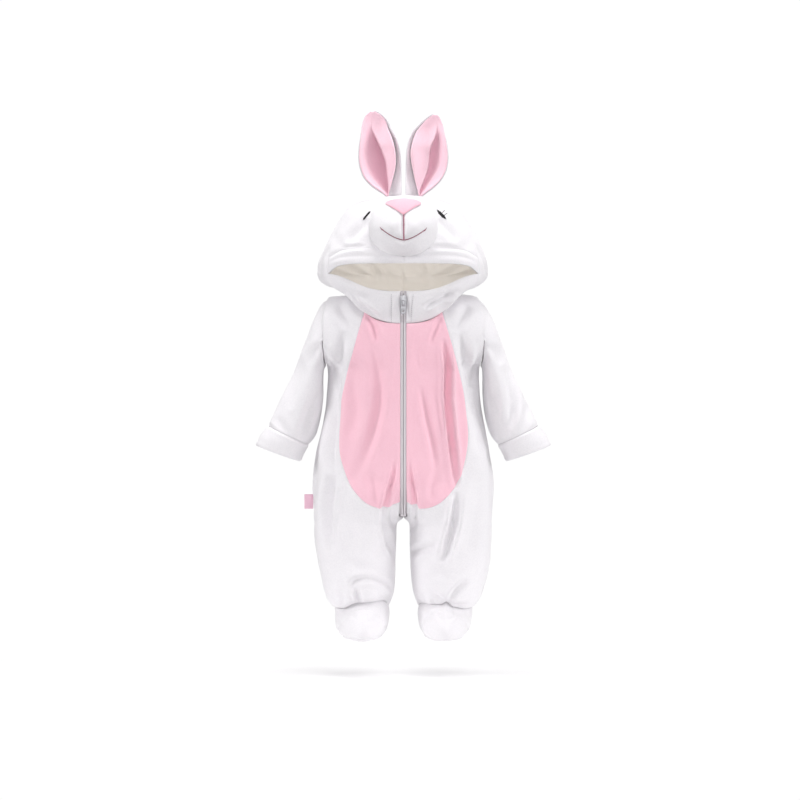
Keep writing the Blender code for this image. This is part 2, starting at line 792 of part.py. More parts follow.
MUZZLE_MIDDLE = Spot(0.0, 113.0)
MUZZLE_OUTLINE = (
    Spot(0.0, 156.5),
    Spot(-19.0, 155.0),
    Spot(-36.0, 148.0),
    Spot(-47.0, 135.0),
    Spot(-51.0, 119.0),
    Spot(-49.5, 103.0),
    Spot(-43.0, 90.5),
    Spot(-31.0, 80.5),
    Spot(-16.0, 74.5),
    Spot(0.0, 73.0),
)
MUZZLE_SHARES = (1.0, 0.93, 0.76, 0.52, 0.27)
MUZZLE_HEIGHT = 31.0
MUZZLE_RIM = 2.5
MUZZLE_WAY = np.array((0.0, -0.96, 0.28))


def hood_front(x, z):
    """The hood's front at a spot as seen from the front."""
    level = hood_level(z)
    ring = HoodRing(*along(HOOD, level))
    sine = max(-1.0, min(1.0, abs(x) / max(ring.half_width, 1.0)))
    point = hood_point(math.degrees(math.asin(sine)), level)
    return np.array((x, point[1], z))


def muzzle_height(x, z, share):
    """How far the muzzle stands out: two lips with the mouth's groove round them, and a lower chin."""
    dome = (1 - share**2.6) ** 0.5
    lips = 5.0 * math.exp(-(((abs(x) - 20) / 14) ** 2) - ((z - 114) / 16) ** 2)
    cleft = -4.5 * math.exp(-((x / 5) ** 2) - ((z - 112) / 16) ** 2)
    mouth_z = 97 + 13 * min(abs(x) / 33, 1.0) ** 2
    mouth = -4.0 * math.exp(-(((z - mouth_z) / 5) ** 2) - (x / 30) ** 4)
    chin = -7.0 / (1 + math.exp((z - 92) / 3))
    return MUZZLE_RIM + dome * (MUZZLE_HEIGHT + lips + cleft + mouth + chin)


def muzzle_spot(column, share):
    """A spot inside the muzzle's outline."""
    count = len(MUZZLE_OUTLINE) - 1
    column = column % (2 * count)
    side = -1 if column <= count else 1
    edge = MUZZLE_OUTLINE[column if column <= count else 2 * count - column]
    x = -side * edge.x
    return Spot(share * x, MUZZLE_MIDDLE.z + share * (edge.z - MUZZLE_MIDDLE.z))


def muzzle_point(spot, share):
    """A point of the muzzle's front."""
    return hood_front(spot.x, spot.z) + MUZZLE_WAY * muzzle_height(spot.x, spot.z, share)


def muzzle_back(spot):
    """A point of the muzzle's back, just off the hood and further off the brim's rolled band."""
    over_brim = 1 / (1 + math.exp((spot.z - 90) / 2))
    return hood_front(spot.x, spot.z) + MUZZLE_WAY * (0.7 + BRIM_ROLL * over_brim)


def muzzle_piece():
    """The stuffed muzzle as a closed solid whose back follows the hood."""
    columns = range(2 * (len(MUZZLE_OUTLINE) - 1))
    front = [[muzzle_point(muzzle_spot(c, s), s) for c in columns] for s in MUZZLE_SHARES]
    back = [[muzzle_back(muzzle_spot(c, s)) for c in columns] for s in MUZZLE_SHARES]
    points = [p for row in front[::-1] + back for p in row]
    tip = len(points)
    points.append(muzzle_point(MUZZLE_MIDDLE, 0.0))
    points.append(muzzle_back(MUZZLE_MIDDLE))
    count, rings = len(columns), 2 * len(MUZZLE_SHARES)
    faces = []
    for i in range(rings - 1):
        for j in range(count):
            k = (j + 1) % count
            faces.append([i * count + j, (i + 1) * count + j, (i + 1) * count + k, i * count + k])
    last = (rings - 1) * count
    faces += [[tip, j, (j + 1) % count] for j in range(count)]
    faces += [[tip + 1, last + (j + 1) % count, last + j] for j in range(count)]
    return np.array(points), faces


NOSE_EDGE = (
    Spot(-27.5, 144.0),
    Spot(-15.0, 148.5),
    Spot(0.0, 150.0),
    Spot(15.0, 148.5),
    Spot(27.5, 144.0),
)
NOSE_TIP = Spot(0.0, 126.0)
NOSE_ROWS = 3
NOSE_THICKNESS = 1.6
NOSE_LIFT = 1.3


def muzzle_share(spot):
    """How far out towards the muzzle's outline a spot lies, from 0 in the middle to 1 at the edge."""
    angle = math.atan2(abs(spot.x), spot.z - MUZZLE_MIDDLE.z)
    turns = [math.atan2(abs(e.x), e.z - MUZZLE_MIDDLE.z) for e in MUZZLE_OUTLINE]
    sizes = [math.hypot(e.x, e.z - MUZZLE_MIDDLE.z) for e in MUZZLE_OUTLINE]
    size = float(np.interp(angle, turns, sizes))
    return min(1.0, math.hypot(spot.x, spot.z - MUZZLE_MIDDLE.z) / size)


def nose_piece():
    """The nose patch on the muzzle's top."""
    tip = np.array(NOSE_TIP)
    rows = []
    for row in range(NOSE_ROWS + 1):
        share = row / NOSE_ROWS * 0.9
        spots = [Spot(*(np.array(edge) * (1 - share) + tip * share)) for edge in NOSE_EDGE]
        rows.append([muzzle_point(spot, muzzle_share(spot)) for spot in spots])
    points = np.array(rows)
    outward = grid_normals(points)
    points = points + outward * (NOSE_LIFT + NOSE_THICKNESS)
    piece = Piece()
    piece.add_grid(points, outward)
    return piece


class EarRow(NamedTuple):
    """A row of the ear: its edges as seen from the front, and how its section is cupped."""

    z: float
    outer_x: float
    inner_x: float
    rose_share: float
    edge_y: float
    cup: float


EAR = (
    EarRow(287.0, -50.5, -44.0, 0.9, -8.0, 1.0),
    EarRow(277.0, -59.5, -29.0, 0.95, -10.0, 4.5),
    EarRow(262.0, -64.0, -18.0, 0.96, -13.5, 10.0),
    EarRow(240.0, -67.5, -9.5, 0.95, -17.0, 15.5),
    EarRow(216.0, -67.5, -6.0, 0.93, -19.0, 18.0),
    EarRow(196.0, -61.5, -5.0, 0.9, -18.0, 17.0),
    EarRow(180.0, -49.0, -4.5, 0.84, -15.5, 13.0),
    EarRow(164.2, -30.0, -5.0, 0.55, -11.0, 6.0),
)
EAR_COLUMNS = 5
EAR_CLOTH = 1.8


def ear_grid():
    """Points of the left ear's face, tip to base. The last column is the white edge beside the rose."""
    rows = []
    for row in EAR:
        shares = [row.rose_share * k / EAR_COLUMNS for k in range(EAR_COLUMNS + 1)] + [1.0]
        rows.append(
            [
                (
                    row.outer_x + (row.inner_x - row.outer_x) * share,
                    row.edge_y + row.cup * max(math.sin(math.pi * share), 0.0) ** 0.8,
                    row.z,
                )
                for share in shares
            ]
        )
    points = np.array(rows)
    return points, grid_normals(points)


def ear_piece(last_column, distance):
    """A sheet of the left ear up to a column, moved back from its face."""
    points, outward = ear_grid()
    points, outward = points[:, :last_column], outward[:, :last_column]
    piece = Piece()
    piece.add_grid(points - outward * distance, outward)
    return piece


STRAND = ((-4.5, -1.5), (-3.8, -0.2), (-1.0, -0.2), (-0.25, -1.2), (-0.25, -3.4), (-4.5, -3.4))
TAPE_SECTION = ((-9.5, -3.7), (-0.25, -3.7), (-0.25, -4.5), (-9.5, -4.5))
ZIP_BODY_Z = (-44.0, -66.0, -92.0, -122.0, -156.0, -190.0, -222.0, -250.0, -272.0, -290.0)
ZIP_END_Z = (-303.0, -315.0)
STOP_Z = (-315.4, -318.6)


def zip_line(collar, last_z):
    """The zip's line down the middle as (y, z), from the collar's top to a height."""
    line = [(p[1], p[2]) for p in collar[:, 0]]
    heights = [z for z in ZIP_BODY_Z + ZIP_END_Z if z > last_z] + [last_z]
    for z in heights:
        point = body_point(*place_of(Spot(-ZIP_HALF, z)), -1)
        line.append((point[1], point[2]))
    return np.array(line)


def swept(line, section):
    """A solid with one section all along a line in the suit's middle."""
    along_line = np.gradient(line, axis=0)
    along_line /= np.linalg.norm(along_line, axis=1, keepdims=True)
    points = []
    for (y, z), (run_y, run_z) in zip(line, along_line):
        points += [(x, y + run_z * out, z - run_y * out) for x, out in section]
    count = len(section)
    faces = [list(range(count)), list(range(len(points) - count, len(points)))[::-1]]
    for i in range(len(line) - 1):
        for j in range(count):
            k = (j + 1) % count
            a, b = i * count, (i + 1) * count
            faces.append([a + k, a + j, b + j, b + k])
    return np.array(points), faces


def prism(outline, axes, low, high, origin):
    """A solid with a flat outline, drawn along its third axis from low to high."""
    across, up, out = axes
    points = [origin + across * a + up * b + out * d for d in (low, high) for a, b in outline]
    count = len(outline)
    faces = [list(range(count))[::-1], list(range(count, 2 * count))]
    faces += [[j, (j + 1) % count, count + (j + 1) % count, count + j] for j in range(count)]
    return np.array(points), faces


def circle(radius, middle, steps=16):
    """An outline round a middle."""
    turns = [2 * math.pi * k / steps for k in range(steps)]
    return [(middle[0] + radius * math.cos(t), middle[1] + radius * math.sin(t)) for t in turns]


HINGE_Z = 4.0
HINGE_OUT = 3.3
SLIDER_PLATE = (
    (-2.6, 11.5),
    (-5.0, 8.5),
    (-5.2, 0.0),
    (-3.8, -6.0),
    (3.8, -6.0),
    (5.2, 0.0),
    (5.0, 8.5),
    (2.6, 11.5),
)
PLATE_DEPTH = (-2.8, -1.3)
BRIDGE = (
    (-1.8, -3.8),
    (2.1, -3.8),
    (2.8, -3.0),
    (2.8, 3.0),
    (2.1, 3.8),
    (-1.8, 3.8),
    (-1.8, 2.2),
    (1.3, 2.2),
    (1.3, -2.2),
    (-1.8, -2.2),
)
BRIDGE_HALF = 1.5
PULL_OUTLINE = (
    (-3.6, 0.8),
    (-3.6, -4.0),
    (-4.4, -6.5),
    (-4.4, -14.5),
    (-2.8, -17.0),
    (2.8, -17.0),
    (4.4, -14.5),
    (4.4, -6.5),
    (3.6, -4.0),
    (3.6, 0.8),
)
PULL_EYE = ((-2.1, -0.8), (-2.1, -5.0), (2.1, -5.0), (2.1, -0.8))
PULL_HOLE = circle(1.5, (0.0, -12.8))
PULL_HALF_DEPTH = 0.75


def join(target, other, operation):
    """Adds or cuts another solid, which then stays out of the render."""
    step = target.modifiers.new(other.name, "BOOLEAN")
    step.operation, step.object, step.solver = operation, other, "EXACT"
    other.hide_render = True
    other.display_type = "WIRE"


def build_zip(collar, finishes):
    """Builds the zip's tapes, strands, stop, slider and pull tab."""
    cloth, grey, steel = finishes
    for name, section, finish, end in (
        ("zip_tape", TAPE_SECTION, cloth, STOP_Z[1]),
        ("zip_strand", STRAND, grey, ZIP_END_Z[1]),
    ):
        corners, faces = swept(zip_line(collar, end), section)
        place(f"{name}_left", corners, faces, finish, smooth=False)
        place(f"{name}_right", *mirrored(corners, faces), finish, smooth=False)
    stop_line = zip_line(collar, STOP_Z[1])[-2:]
    stop_line[0] = stop_line[1] + (stop_line[0] - stop_line[1]) * 0.9
    stop = ((-4.4, 0.0), (4.4, 0.0), (4.4, -2.7), (-4.4, -2.7))
    place("zip_stop", *swept(stop_line, stop), grey, smooth=False)

    line = zip_line(collar, ZIP_END_Z[1])[:4]
    run = (line[0] - line[-1]) / np.linalg.norm(line[0] - line[-1])
    y = float(np.interp(HINGE_Z, line[::-1, 1], line[::-1, 0]))
    across, up = np.array((1.0, 0.0, 0.0)), np.array((0.0, *run))
    out = np.array((0.0, -run[1], run[0]))
    hinge = np.array((0.0, y, HINGE_Z)) + out * HINGE_OUT
    plate = prism(SLIDER_PLATE, (across, up, out), *PLATE_DEPTH, hinge)
    slider = place("zip_slider", *plate, steel, smooth=False)
    bridge = prism(BRIDGE, (out, up, across), -BRIDGE_HALF, BRIDGE_HALF, hinge)
    loop = place("bridge", bridge[0], [face[::-1] for face in bridge[1]], steel, smooth=False)
    join(slider, loop, "UNION")
    tab = prism(PULL_OUTLINE, (across, up, out), -PULL_HALF_DEPTH, PULL_HALF_DEPTH, hinge)
    pull = place("zip_pull", *tab, steel, hinge, smooth=False)
    for name, outline in (("eye_cut", PULL_EYE), ("hole_cut", PULL_HOLE)):
        cutter = prism(outline, (across, up, out), -3.0, 3.0, hinge)
        join(pull, place(name, *cutter, steel, smooth=False), "DIFFERENCE")


LABEL_OUTLINE = ((-136.2, -287.0), (-136.2, -309.0), (-149.5, -309.0), (-149.5, -287.0))
LABEL_HALF_DEPTH = 0.7

WHITE = (0.90, 0.89, 0.91)
ROSE = (0.93, 0.55, 0.64)
CREAM = (0.86, 0.78, 0.64)
GREY = (0.50, 0.50, 0.52)
STEEL = (0.62, 0.62, 0.64)
TAPE_WHITE = (0.80, 0.79, 0.81)


def build():
    """Builds every node of the sleepsuit."""
    clear_scene()
    fleece = material("white_fleece", WHITE, 0.95)
    rose = material("rose_fleece", ROSE, 0.95)
    cream = material("cream_lining", CREAM, 0.95)
    zip_finishes = (
        material("zip_tape", TAPE_WHITE, 0.8),
        material("zip_teeth", GREY, 0.5),
        material("zip_metal", STEEL, 0.35, 1.0),
    )
    place_pair("front", front_piece(), FLEECE, fleece)
    place_pair("tummy", tummy_piece(), FLEECE, rose)
    place("back", *back_piece().thicken(FLEECE), fleece)
    place_pair("sleeve", sleeve_piece(), FLEECE, fleece)
    place_pair("cuff", cuff_piece(), FLEECE, fleece)
    place_pair("foot", foot_piece(), FLEECE, fleece)
    place_pair("toe_cap", toe_cap_piece(), FLEECE, fleece)
    place_pair("sole", sole_piece(), FLEECE, fleece)
    grids = hood_grids()
    place_pair("hood", hood_piece(grids), FLEECE, fleece)
    place_pair("brim", brim_piece(grids), FLEECE, fleece)
    place_pair("hood_lining", lining_piece(grids), LINING, cream)
    place("muzzle", *muzzle_piece(), fleece)
    place("nose", *nose_piece().thicken(NOSE_THICKNESS), rose)
    place_pair("ear_front", ear_piece(EAR_COLUMNS + 1, 0.0), EAR_CLOTH, rose)
    place_pair("ear_back", ear_piece(EAR_COLUMNS + 2, EAR_CLOTH + SEAM_GAP), EAR_CLOTH, fleece)
    build_zip(grids[2], zip_finishes)
    axes = np.array(((1.0, 0.0, 0.0), (0.0, 0.0, 1.0), (0.0, -1.0, 0.0)))
    label = prism(LABEL_OUTLINE, axes, -LABEL_HALF_DEPTH, LABEL_HALF_DEPTH, np.zeros(3))
    place("side_label", label[0], [face[::-1] for face in label[1]], rose, smooth=False)


if __name__ == "__main__":
    build()
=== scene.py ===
"""The looks of a baby's hooded rabbit sleepsuit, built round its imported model.

The suit faces -Y with Z up. Forms are worked out in millimetres and turned to metres when a piece
is put in the scene. Each cloth piece is a fine sheet on its solid's form, with its folds, its seams
and its own thickness.
"""

import logging
import math
from dataclasses import dataclass, field
from enum import Enum
from typing import Any, Callable, NamedTuple

import bmesh
import bpy
import numpy as np
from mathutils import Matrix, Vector
from mathutils.bvhtree import BVHTree

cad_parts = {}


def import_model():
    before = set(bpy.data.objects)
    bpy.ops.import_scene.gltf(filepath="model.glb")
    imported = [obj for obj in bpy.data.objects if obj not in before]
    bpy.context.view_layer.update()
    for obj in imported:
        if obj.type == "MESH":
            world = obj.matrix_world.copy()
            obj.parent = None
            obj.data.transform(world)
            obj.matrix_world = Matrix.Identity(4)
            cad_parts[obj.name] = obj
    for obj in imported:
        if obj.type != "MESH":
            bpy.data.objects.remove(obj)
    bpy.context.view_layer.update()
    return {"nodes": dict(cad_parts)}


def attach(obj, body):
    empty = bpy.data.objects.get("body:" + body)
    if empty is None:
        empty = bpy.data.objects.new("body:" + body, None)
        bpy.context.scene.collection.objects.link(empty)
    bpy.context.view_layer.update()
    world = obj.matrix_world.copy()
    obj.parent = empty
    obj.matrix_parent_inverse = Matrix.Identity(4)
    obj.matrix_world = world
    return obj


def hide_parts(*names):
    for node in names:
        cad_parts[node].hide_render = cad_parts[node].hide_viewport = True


Array = np.ndarray
Path = tuple[tuple[float, float], ...]
Triple = tuple[float, float, float]
Mesh = tuple[Array, list[list[int]]]
Piece = bpy.types.Object
Socket = bpy.types.NodeSocket
Tree = bpy.types.NodeTree

METRES = 0.001
FLEECE = 2.4
LINING = 1.4
EAR_CLOTH = 1.8
SEAM_GAP = 0.3
LIFT = 0.35
ZIP_HALF = 4.8
FULLNESS = 0.07
HALVINGS = 24
MESH_STEP = 2.6
SEAM_STEPS = (0.7, 1.5, 2.6, 4, 6)
ROUND_COUNT = 96
WELD = 0.01
WELD_SHIFT = 0.37
CHUNK = 256
SUIT = "suit"
PULL_TAB = "pull_tab"
# The name of the mesh attribute that masks painted shade in the ears' hollows.
HOLLOW_SHADE = "fold"
SIDES = ("left", "right")

log = logging.getLogger("sleepsuit")


class View(Enum):
    """The side from which a fold is drawn, as the way its cloth faces."""

    FRONT = (0.0, -1.0, 0.0)
    BACK = (0.0, 1.0, 0.0)
    LEFT = (-1.0, 0.0, 0.0)
    RIGHT = (1.0, 0.0, 0.0)


# ---- curves and tables


def read_table(table: Array, place: Array) -> Array:
    """Reads a table at fractional places, on a smooth curve through its rows.

    Args:
        table: The rows, as (rows, ...).
        place: Fractional row numbers, of any shape.

    Returns:
        The rows read, as (*place.shape, ...).
    """
    table = np.asarray(table, float)
    place = np.clip(np.asarray(place, float), 0.0, len(table) - 1.0)
    k = np.minimum(place.astype(int), len(table) - 2)
    extra = (None,) * (table.ndim - 1)
    t = (place - k)[(..., *extra)]
    here, after = table[k], table[k + 1]
    first, last = (k == 0)[(..., *extra)], (k + 2 >= len(table))[(..., *extra)]
    before = np.where(first, 2 * here - after, table[np.maximum(k - 1, 0)])
    beyond = np.where(last, 2 * after - here, table[np.minimum(k + 2, len(table) - 1)])
    bend = (2 * before - 5 * here + 4 * after - beyond) * t * t
    twist = (3 * here - before - 3 * after + beyond) * t**3
    return 0.5 * (2 * here + (after - before) * t + bend + twist)


def smooth(value: Array, low: float, high: float) -> Array:
    """Rises smoothly from 0 at low to 1 at high."""
    t = np.clip((value - low) / (high - low), 0.0, 1.0)
    return t * t * (3 - 2 * t)


def halve(test: Callable[[Array], Array], low: Array, high: Array) -> Array:
    """The values between low and high at which a test turns from false to true."""
    for _ in range(HALVINGS):
        middle = (low + high) / 2
        past = test(middle)
        low, high = np.where(past, low, middle), np.where(past, middle, high)
    return (low + high) / 2


def spread(length: float, step: float = MESH_STEP, start: bool = True, end: bool = True) -> Array:
    """Shares from 0 to 1 along a length, closer together beside each seamed end.

    Args:
        length: The length in millimetres.
        step: The usual distance between lines.
        start, end: Whether that end lies on a seam.

    Returns:
        The shares, both ends included.
    """
    near = np.array(SEAM_STEPS) * min(1.0, length / 4 / SEAM_STEPS[-1])
    low = near[-1] if start else 0.0
    high = length - (near[-1] if end else 0.0)
    count = max(2, round((high - low) / step))
    lines = [np.linspace(low, high, count + 1)]
    if start:
        lines.insert(0, np.array((0.0, *near[:-1])))
    if end:
        lines.append(length - np.array((*near[:-1][::-1], 0.0)))
    return np.concatenate(lines) / length


def mirror(points: Array) -> Array:
    """Points on the suit's other side."""
    return points * np.array((-1.0, 1.0, 1.0))


def centred(points: Array, within: float = 0.05) -> Array:
    """Points with those near the suit's middle brought onto it."""
    points[..., 0] = np.where(np.abs(points[..., 0]) < within, 0.0, points[..., 0])
    return points


def unit(ways: Array) -> Array:
    """Directions made one long."""
    return ways / np.maximum(np.linalg.norm(ways, axis=-1, keepdims=True), 1e-9)


def run_of(line: Array) -> Array:
    """The direction of a line at each of its points."""
    return unit(np.gradient(line, axis=0))


def joined(*parts: Any) -> Array:
    """Numbers set side by side along a new last axis."""
    return np.stack(np.broadcast_arrays(*parts), axis=-1)


def whole_turn(count: int = ROUND_COUNT) -> Array:
    """Angles round a whole turn in equal steps."""
    return np.linspace(0, 2 * np.pi, count + 1)[:-1]


def rows_of(kind: Any, *rows: tuple[float, ...]) -> tuple[Any, ...]:
    """A table's rows, each made one of its kind."""
    return tuple(kind(*row) for row in rows)


# ---- folds in the cloth


FOLD_REACH = 3.2
TROUGH_POWER = 1.45
LIP_PLACE = 1.75
LIP_WIDTH = 0.8


@dataclass(frozen=True)
class Crease:
    """One soft fold, drawn as it is seen from one side.

    Attributes:
        path: Its line, as (across, up) in millimetres.
        depth: How far it sinks. A negative one is a ridge.
        width: Half the width of its trough.
        lip: The share of its depth that rises on both sides of it.
        view: The side from which it is drawn.
    """

    path: Path
    depth: float
    width: float
    lip: float
    view: View

    def sink(self, points: Array, outward: Array) -> Array:
        """How far the fold moves each point along its outward direction.

        Args:
            points: Points in millimetres.
            outward: The outward direction at each point.

        Returns:
            The distances, inwards ones being negative.
        """
        across = 0 if self.view in (View.FRONT, View.BACK) else 1
        reach = FOLD_REACH * self.width
        line = read_table(self.path, np.linspace(0, len(self.path) - 1, 8 * len(self.path)))
        spots = points[:, (across, 2)]
        near = ((spots > line.min(0) - reach) & (spots < line.max(0) + reach)).all(axis=1)
        way = outward @ np.array(self.view.value)
        near &= way > 0.0
        moved = np.zeros(len(points))
        if not near.any():
            return moved
        here = spots[near][:, None, :]
        start, run = line[:-1][None], (line[1:] - line[:-1])[None]
        share = np.clip(((here - start) * run).sum(-1) / np.maximum((run**2).sum(-1), 1e-9), 0, 1)
        gaps = np.linalg.norm(here - start - run * share[..., None], axis=-1)
        closest = gaps.argmin(axis=1)
        rows = np.arange(len(gaps))
        gap = gaps[rows, closest]
        along_line = (closest + share[rows, closest]) / (len(line) - 1)
        taper = np.clip(1 - np.abs(2 * along_line - 1) ** 3, 0.0, 1.0)
        trough = np.exp(-((gap / self.width) ** TROUGH_POWER))
        lips = np.exp(-(((gap - LIP_PLACE * self.width) / (LIP_WIDTH * self.width)) ** 2))
        facing = smooth(way[near], 0.02, 0.35)
        moved[near] = self.depth * taper * facing * (self.lip * lips - trough)
        return moved


@dataclass(frozen=True)
class Undulation:
    """The gentle unevenness of soft cloth: waves between two lengths, the same at every run."""

    height: float = 0.75
    shortest: float = 24.0
    longest: float = 85.0
    waves: int = 22
    seed: int = 7

    def rise(self, points: Array) -> Array:
        """How far each point rises.

        Args:
            points: Points in millimetres.

        Returns:
            The rise at each point.
        """
        draw = np.random.default_rng(self.seed)
        ways = draw.normal(size=(self.waves, 3)) * np.array((1.0, 1.0, 0.6))
        ways = unit(ways)
        lengths = np.exp(draw.uniform(np.log(self.shortest), np.log(self.longest), self.waves))
        starts = draw.uniform(0, 2 * np.pi, self.waves)
        sizes = (lengths / self.longest) ** 0.6
        waves = np.sin(points @ (ways / lengths[:, None]).T * 2 * np.pi + starts) * sizes
        return self.height * waves.sum(axis=1) / np.sqrt((sizes**2).sum() / 2)


def folds(view: View, *rows: tuple[float, ...]) -> tuple[Crease, ...]:
    """Folds drawn from one side, each row being its depth, width and lip and then its line's spots."""
    return tuple(Crease(tuple(zip(row[3::2], row[4::2])), *row[:3], view) for row in rows)


TUMMY_CREASES = folds(
    View.FRONT,
    (13.8, 4.4, 0.55, 60.8, -49.5, 65.2, -90, 65.2, -135, 69, -180, 74.2, -225, 80.2, -277.5),
    (5.8, 5.4, 0.35, 26.2, -120, 35.2, -165, 44.2, -210, 48.8, -247.5),
    (8, 8, 0.35, -47.2, -60, -38.2, -100.5, -35.2, -139.5, -42.8, -180, -54.8, -217.5, -74.2, -265.5),
    (6, 4, 0.5, -9, -229.5, -15, -255, -22.5, -280.5, -28.5, -304.5, -29.2, -322.5),
    (6, 3.6, 0.5, 7.5, -229.5, 12, -255, 16.5, -280.5, 18, -303, 16.5, -321),
    (5, 4.6, 0.35, -53.2, -15, -44.2, -34.5, -38.2, -55.5),
    (4.5, 9, 0.35, -77.2, -109.5, -71.2, -157.5, -80.2, -202.5),
    (2.2, 7, 0.35, 27.8, -37.5, 21.8, -75, 29.2, -109.5),
    (2.2, 6.5, 0.35, -20.2, -60, -26.2, -94.5, -20.2, -127.5),
    (4.2, 5, 0.35, 56.2, -16.5, 48.8, -37.5, 39.8, -60),
    (3, 6.5, 0.35, 51.8, -240, 44.2, -268.5, 41.2, -295.5),
    (3.2, 6.5, 0.35, -50.2, -247.5, -44.2, -271.5, -41.2, -298.5),
)
TRUNK_CREASES = folds(
    View.FRONT,
    (9.6, 8, 0.35, -87.8, -37.5, -95.2, -75, -99.8, -120, -105.8, -165),
    (7.4, 6.2, 0.35, -122.2, -60, -110.2, -90, -104.2, -127.5),
    (9.2, 7.4, 0.35, -99.8, -142.5, -104.2, -187.5, -107.2, -225, -105.8, -255),
    (10.6, 7.2, 0.5, -102.8, -247.5, -108.8, -285, -110.2, -330, -102.8, -370.5),
    (1.8, 12, 0.35, -71.2, -310.5, -62.2, -352.5, -71.2, -391.5),
    (8.6, 7.4, 0.3, 84.8, -37.5, 90.8, -75, 101.2, -120, 108.8, -165),
    (7, 6.2, 0.3, 120.8, -60, 111.8, -90, 107.2, -127.5),
    (4, 8, 0.35, 102.8, -142.5, 111.8, -187.5, 113.2, -225),
    (11, 5.6, 0.55, 80.2, -276, 75.8, -322.5, 66.8, -360, 59.2, -385.5),
    (3, 11, 0.35, 114.8, -247.5, 111.8, -292.5, 104.2, -337.5, 92.2, -375),
    (5.2, 7.4, 0.35, -98.2, 1.5, -87.8, -15, -77.2, -37.5),
    (5, 7.4, 0.35, 96.8, 1.5, 87.8, -19.5, 78.8, -40.5),
    (4.6, 4, 0.5, -30.8, -307.5, -29.2, -328.5, -23.2, -352.5, -15.8, -372, -11.2, -388.5),
    (4, 3.6, 0.5, 17.2, -307.5, 17.2, -322.5, 13.5, -343.5),
    (3.4, 5.5, 0.2, -18.8, -301.5, -18.8, -318, -14.2, -336),
    (3, 4, 0.2, 8.2, -301.5, 6.8, -316.5, 5.2, -331.5),
    (2.6, 7.5, 0.35, -11.2, -349.5, -27.8, -364.5, -47.2, -370.5),
    (6.4, 5, 0.5, 8.2, -376.5, 27.8, -366, 50.2, -360),
    (2.8, 8, 0.35, -87.8, -384, -65.2, -394.5, -42.8, -394.5),
    (3.2, 7, 0.35, 32.2, -405, 50.2, -400.5, 69.8, -408),
    (3.2, 6.6, 0.35, -105.8, -405, -92.2, -417, -86.2, -436.5),
)
ANKLE_CREASES = folds(
    View.FRONT,
    (5.4, 4, 0.6, -77.2, -429, -75.8, -417, -63.8, -411, -45.8, -411.8, -27.8, -418.5, -15.8, -429),
    (5.2, 2.8, 0.7, -71.2, -424.5, -69, -436.5, -66.8, -448.5),
    (-2.6, 3.4, 0, -86.2, -430.5, -81.8, -439.5, -74.2, -450),
    (3.4, 4.2, 0.35, -105.8, -424.5, -93.8, -433.5, -84.8, -442.5),
    (1.8, 3.2, 0.35, -38.2, -430.5, -35.2, -441, -36.8, -451.5),
    (1.8, 3.2, 0.35, -93.8, -438, -90.8, -445.5, -92.2, -453),
    (5.6, 4, 0.6, 68.2, -445.5, 80.2, -426, 98.2, -411),
    (3.4, 3.6, 0.35, 63.8, -445.5, 80.2, -450.8, 98.2, -448.5),
    (3.4, 4, 0.35, 38.2, -426, 50.2, -436.5, 62.2, -445.5),
    (1.8, 3, 0.35, 45.8, -439.5, 45.8, -447, 47.2, -454.5),
    (1.8, 3.2, 0.35, 27.8, -435, 33.8, -445.5, 33.8, -454.5),
)
SLEEVE_CREASES = folds(
    View.FRONT,
    (4.5, 8.1, 0.35, -148, -82, -161, -120, -170, -158),
    (3.9, 6.3, 0.35, -128, -135, -143, -165, -154, -197),
    (4.2, 6.3, 0.35, -122, -60, -134, -71, -145, -90),
    (2.7, 6.3, 0.35, -190, -168, -180, -188, -170, -204),
    (6.3, 7.2, 0.45, 152, -90, 160, -120, 163, -143, 160, -170, 157, -188),
    (3.6, 6.3, 0.35, 133, -135, 145, -170, 154, -200),
    (4.2, 6.3, 0.35, 128, -60, 139, -71, 148, -90),
    (2.7, 6.3, 0.35, 186, -150, 184, -172, 178, -195),
) + folds(
    View.BACK,
    (3.6, 8.1, 0.35, -150, -40, -140, -70, -128, -95),
    (3.3, 8.1, 0.35, 150, -45, 142, -75, 128, -100),
    (4.2, 6.8, 0.35, -172, -118, -158, -140, -138, -150),
    (3.9, 6.8, 0.35, 174, -124, 158, -138, 140, -160),
    (2.7, 6.3, 0.35, -186, -160, -168, -175, -150, -180),
)
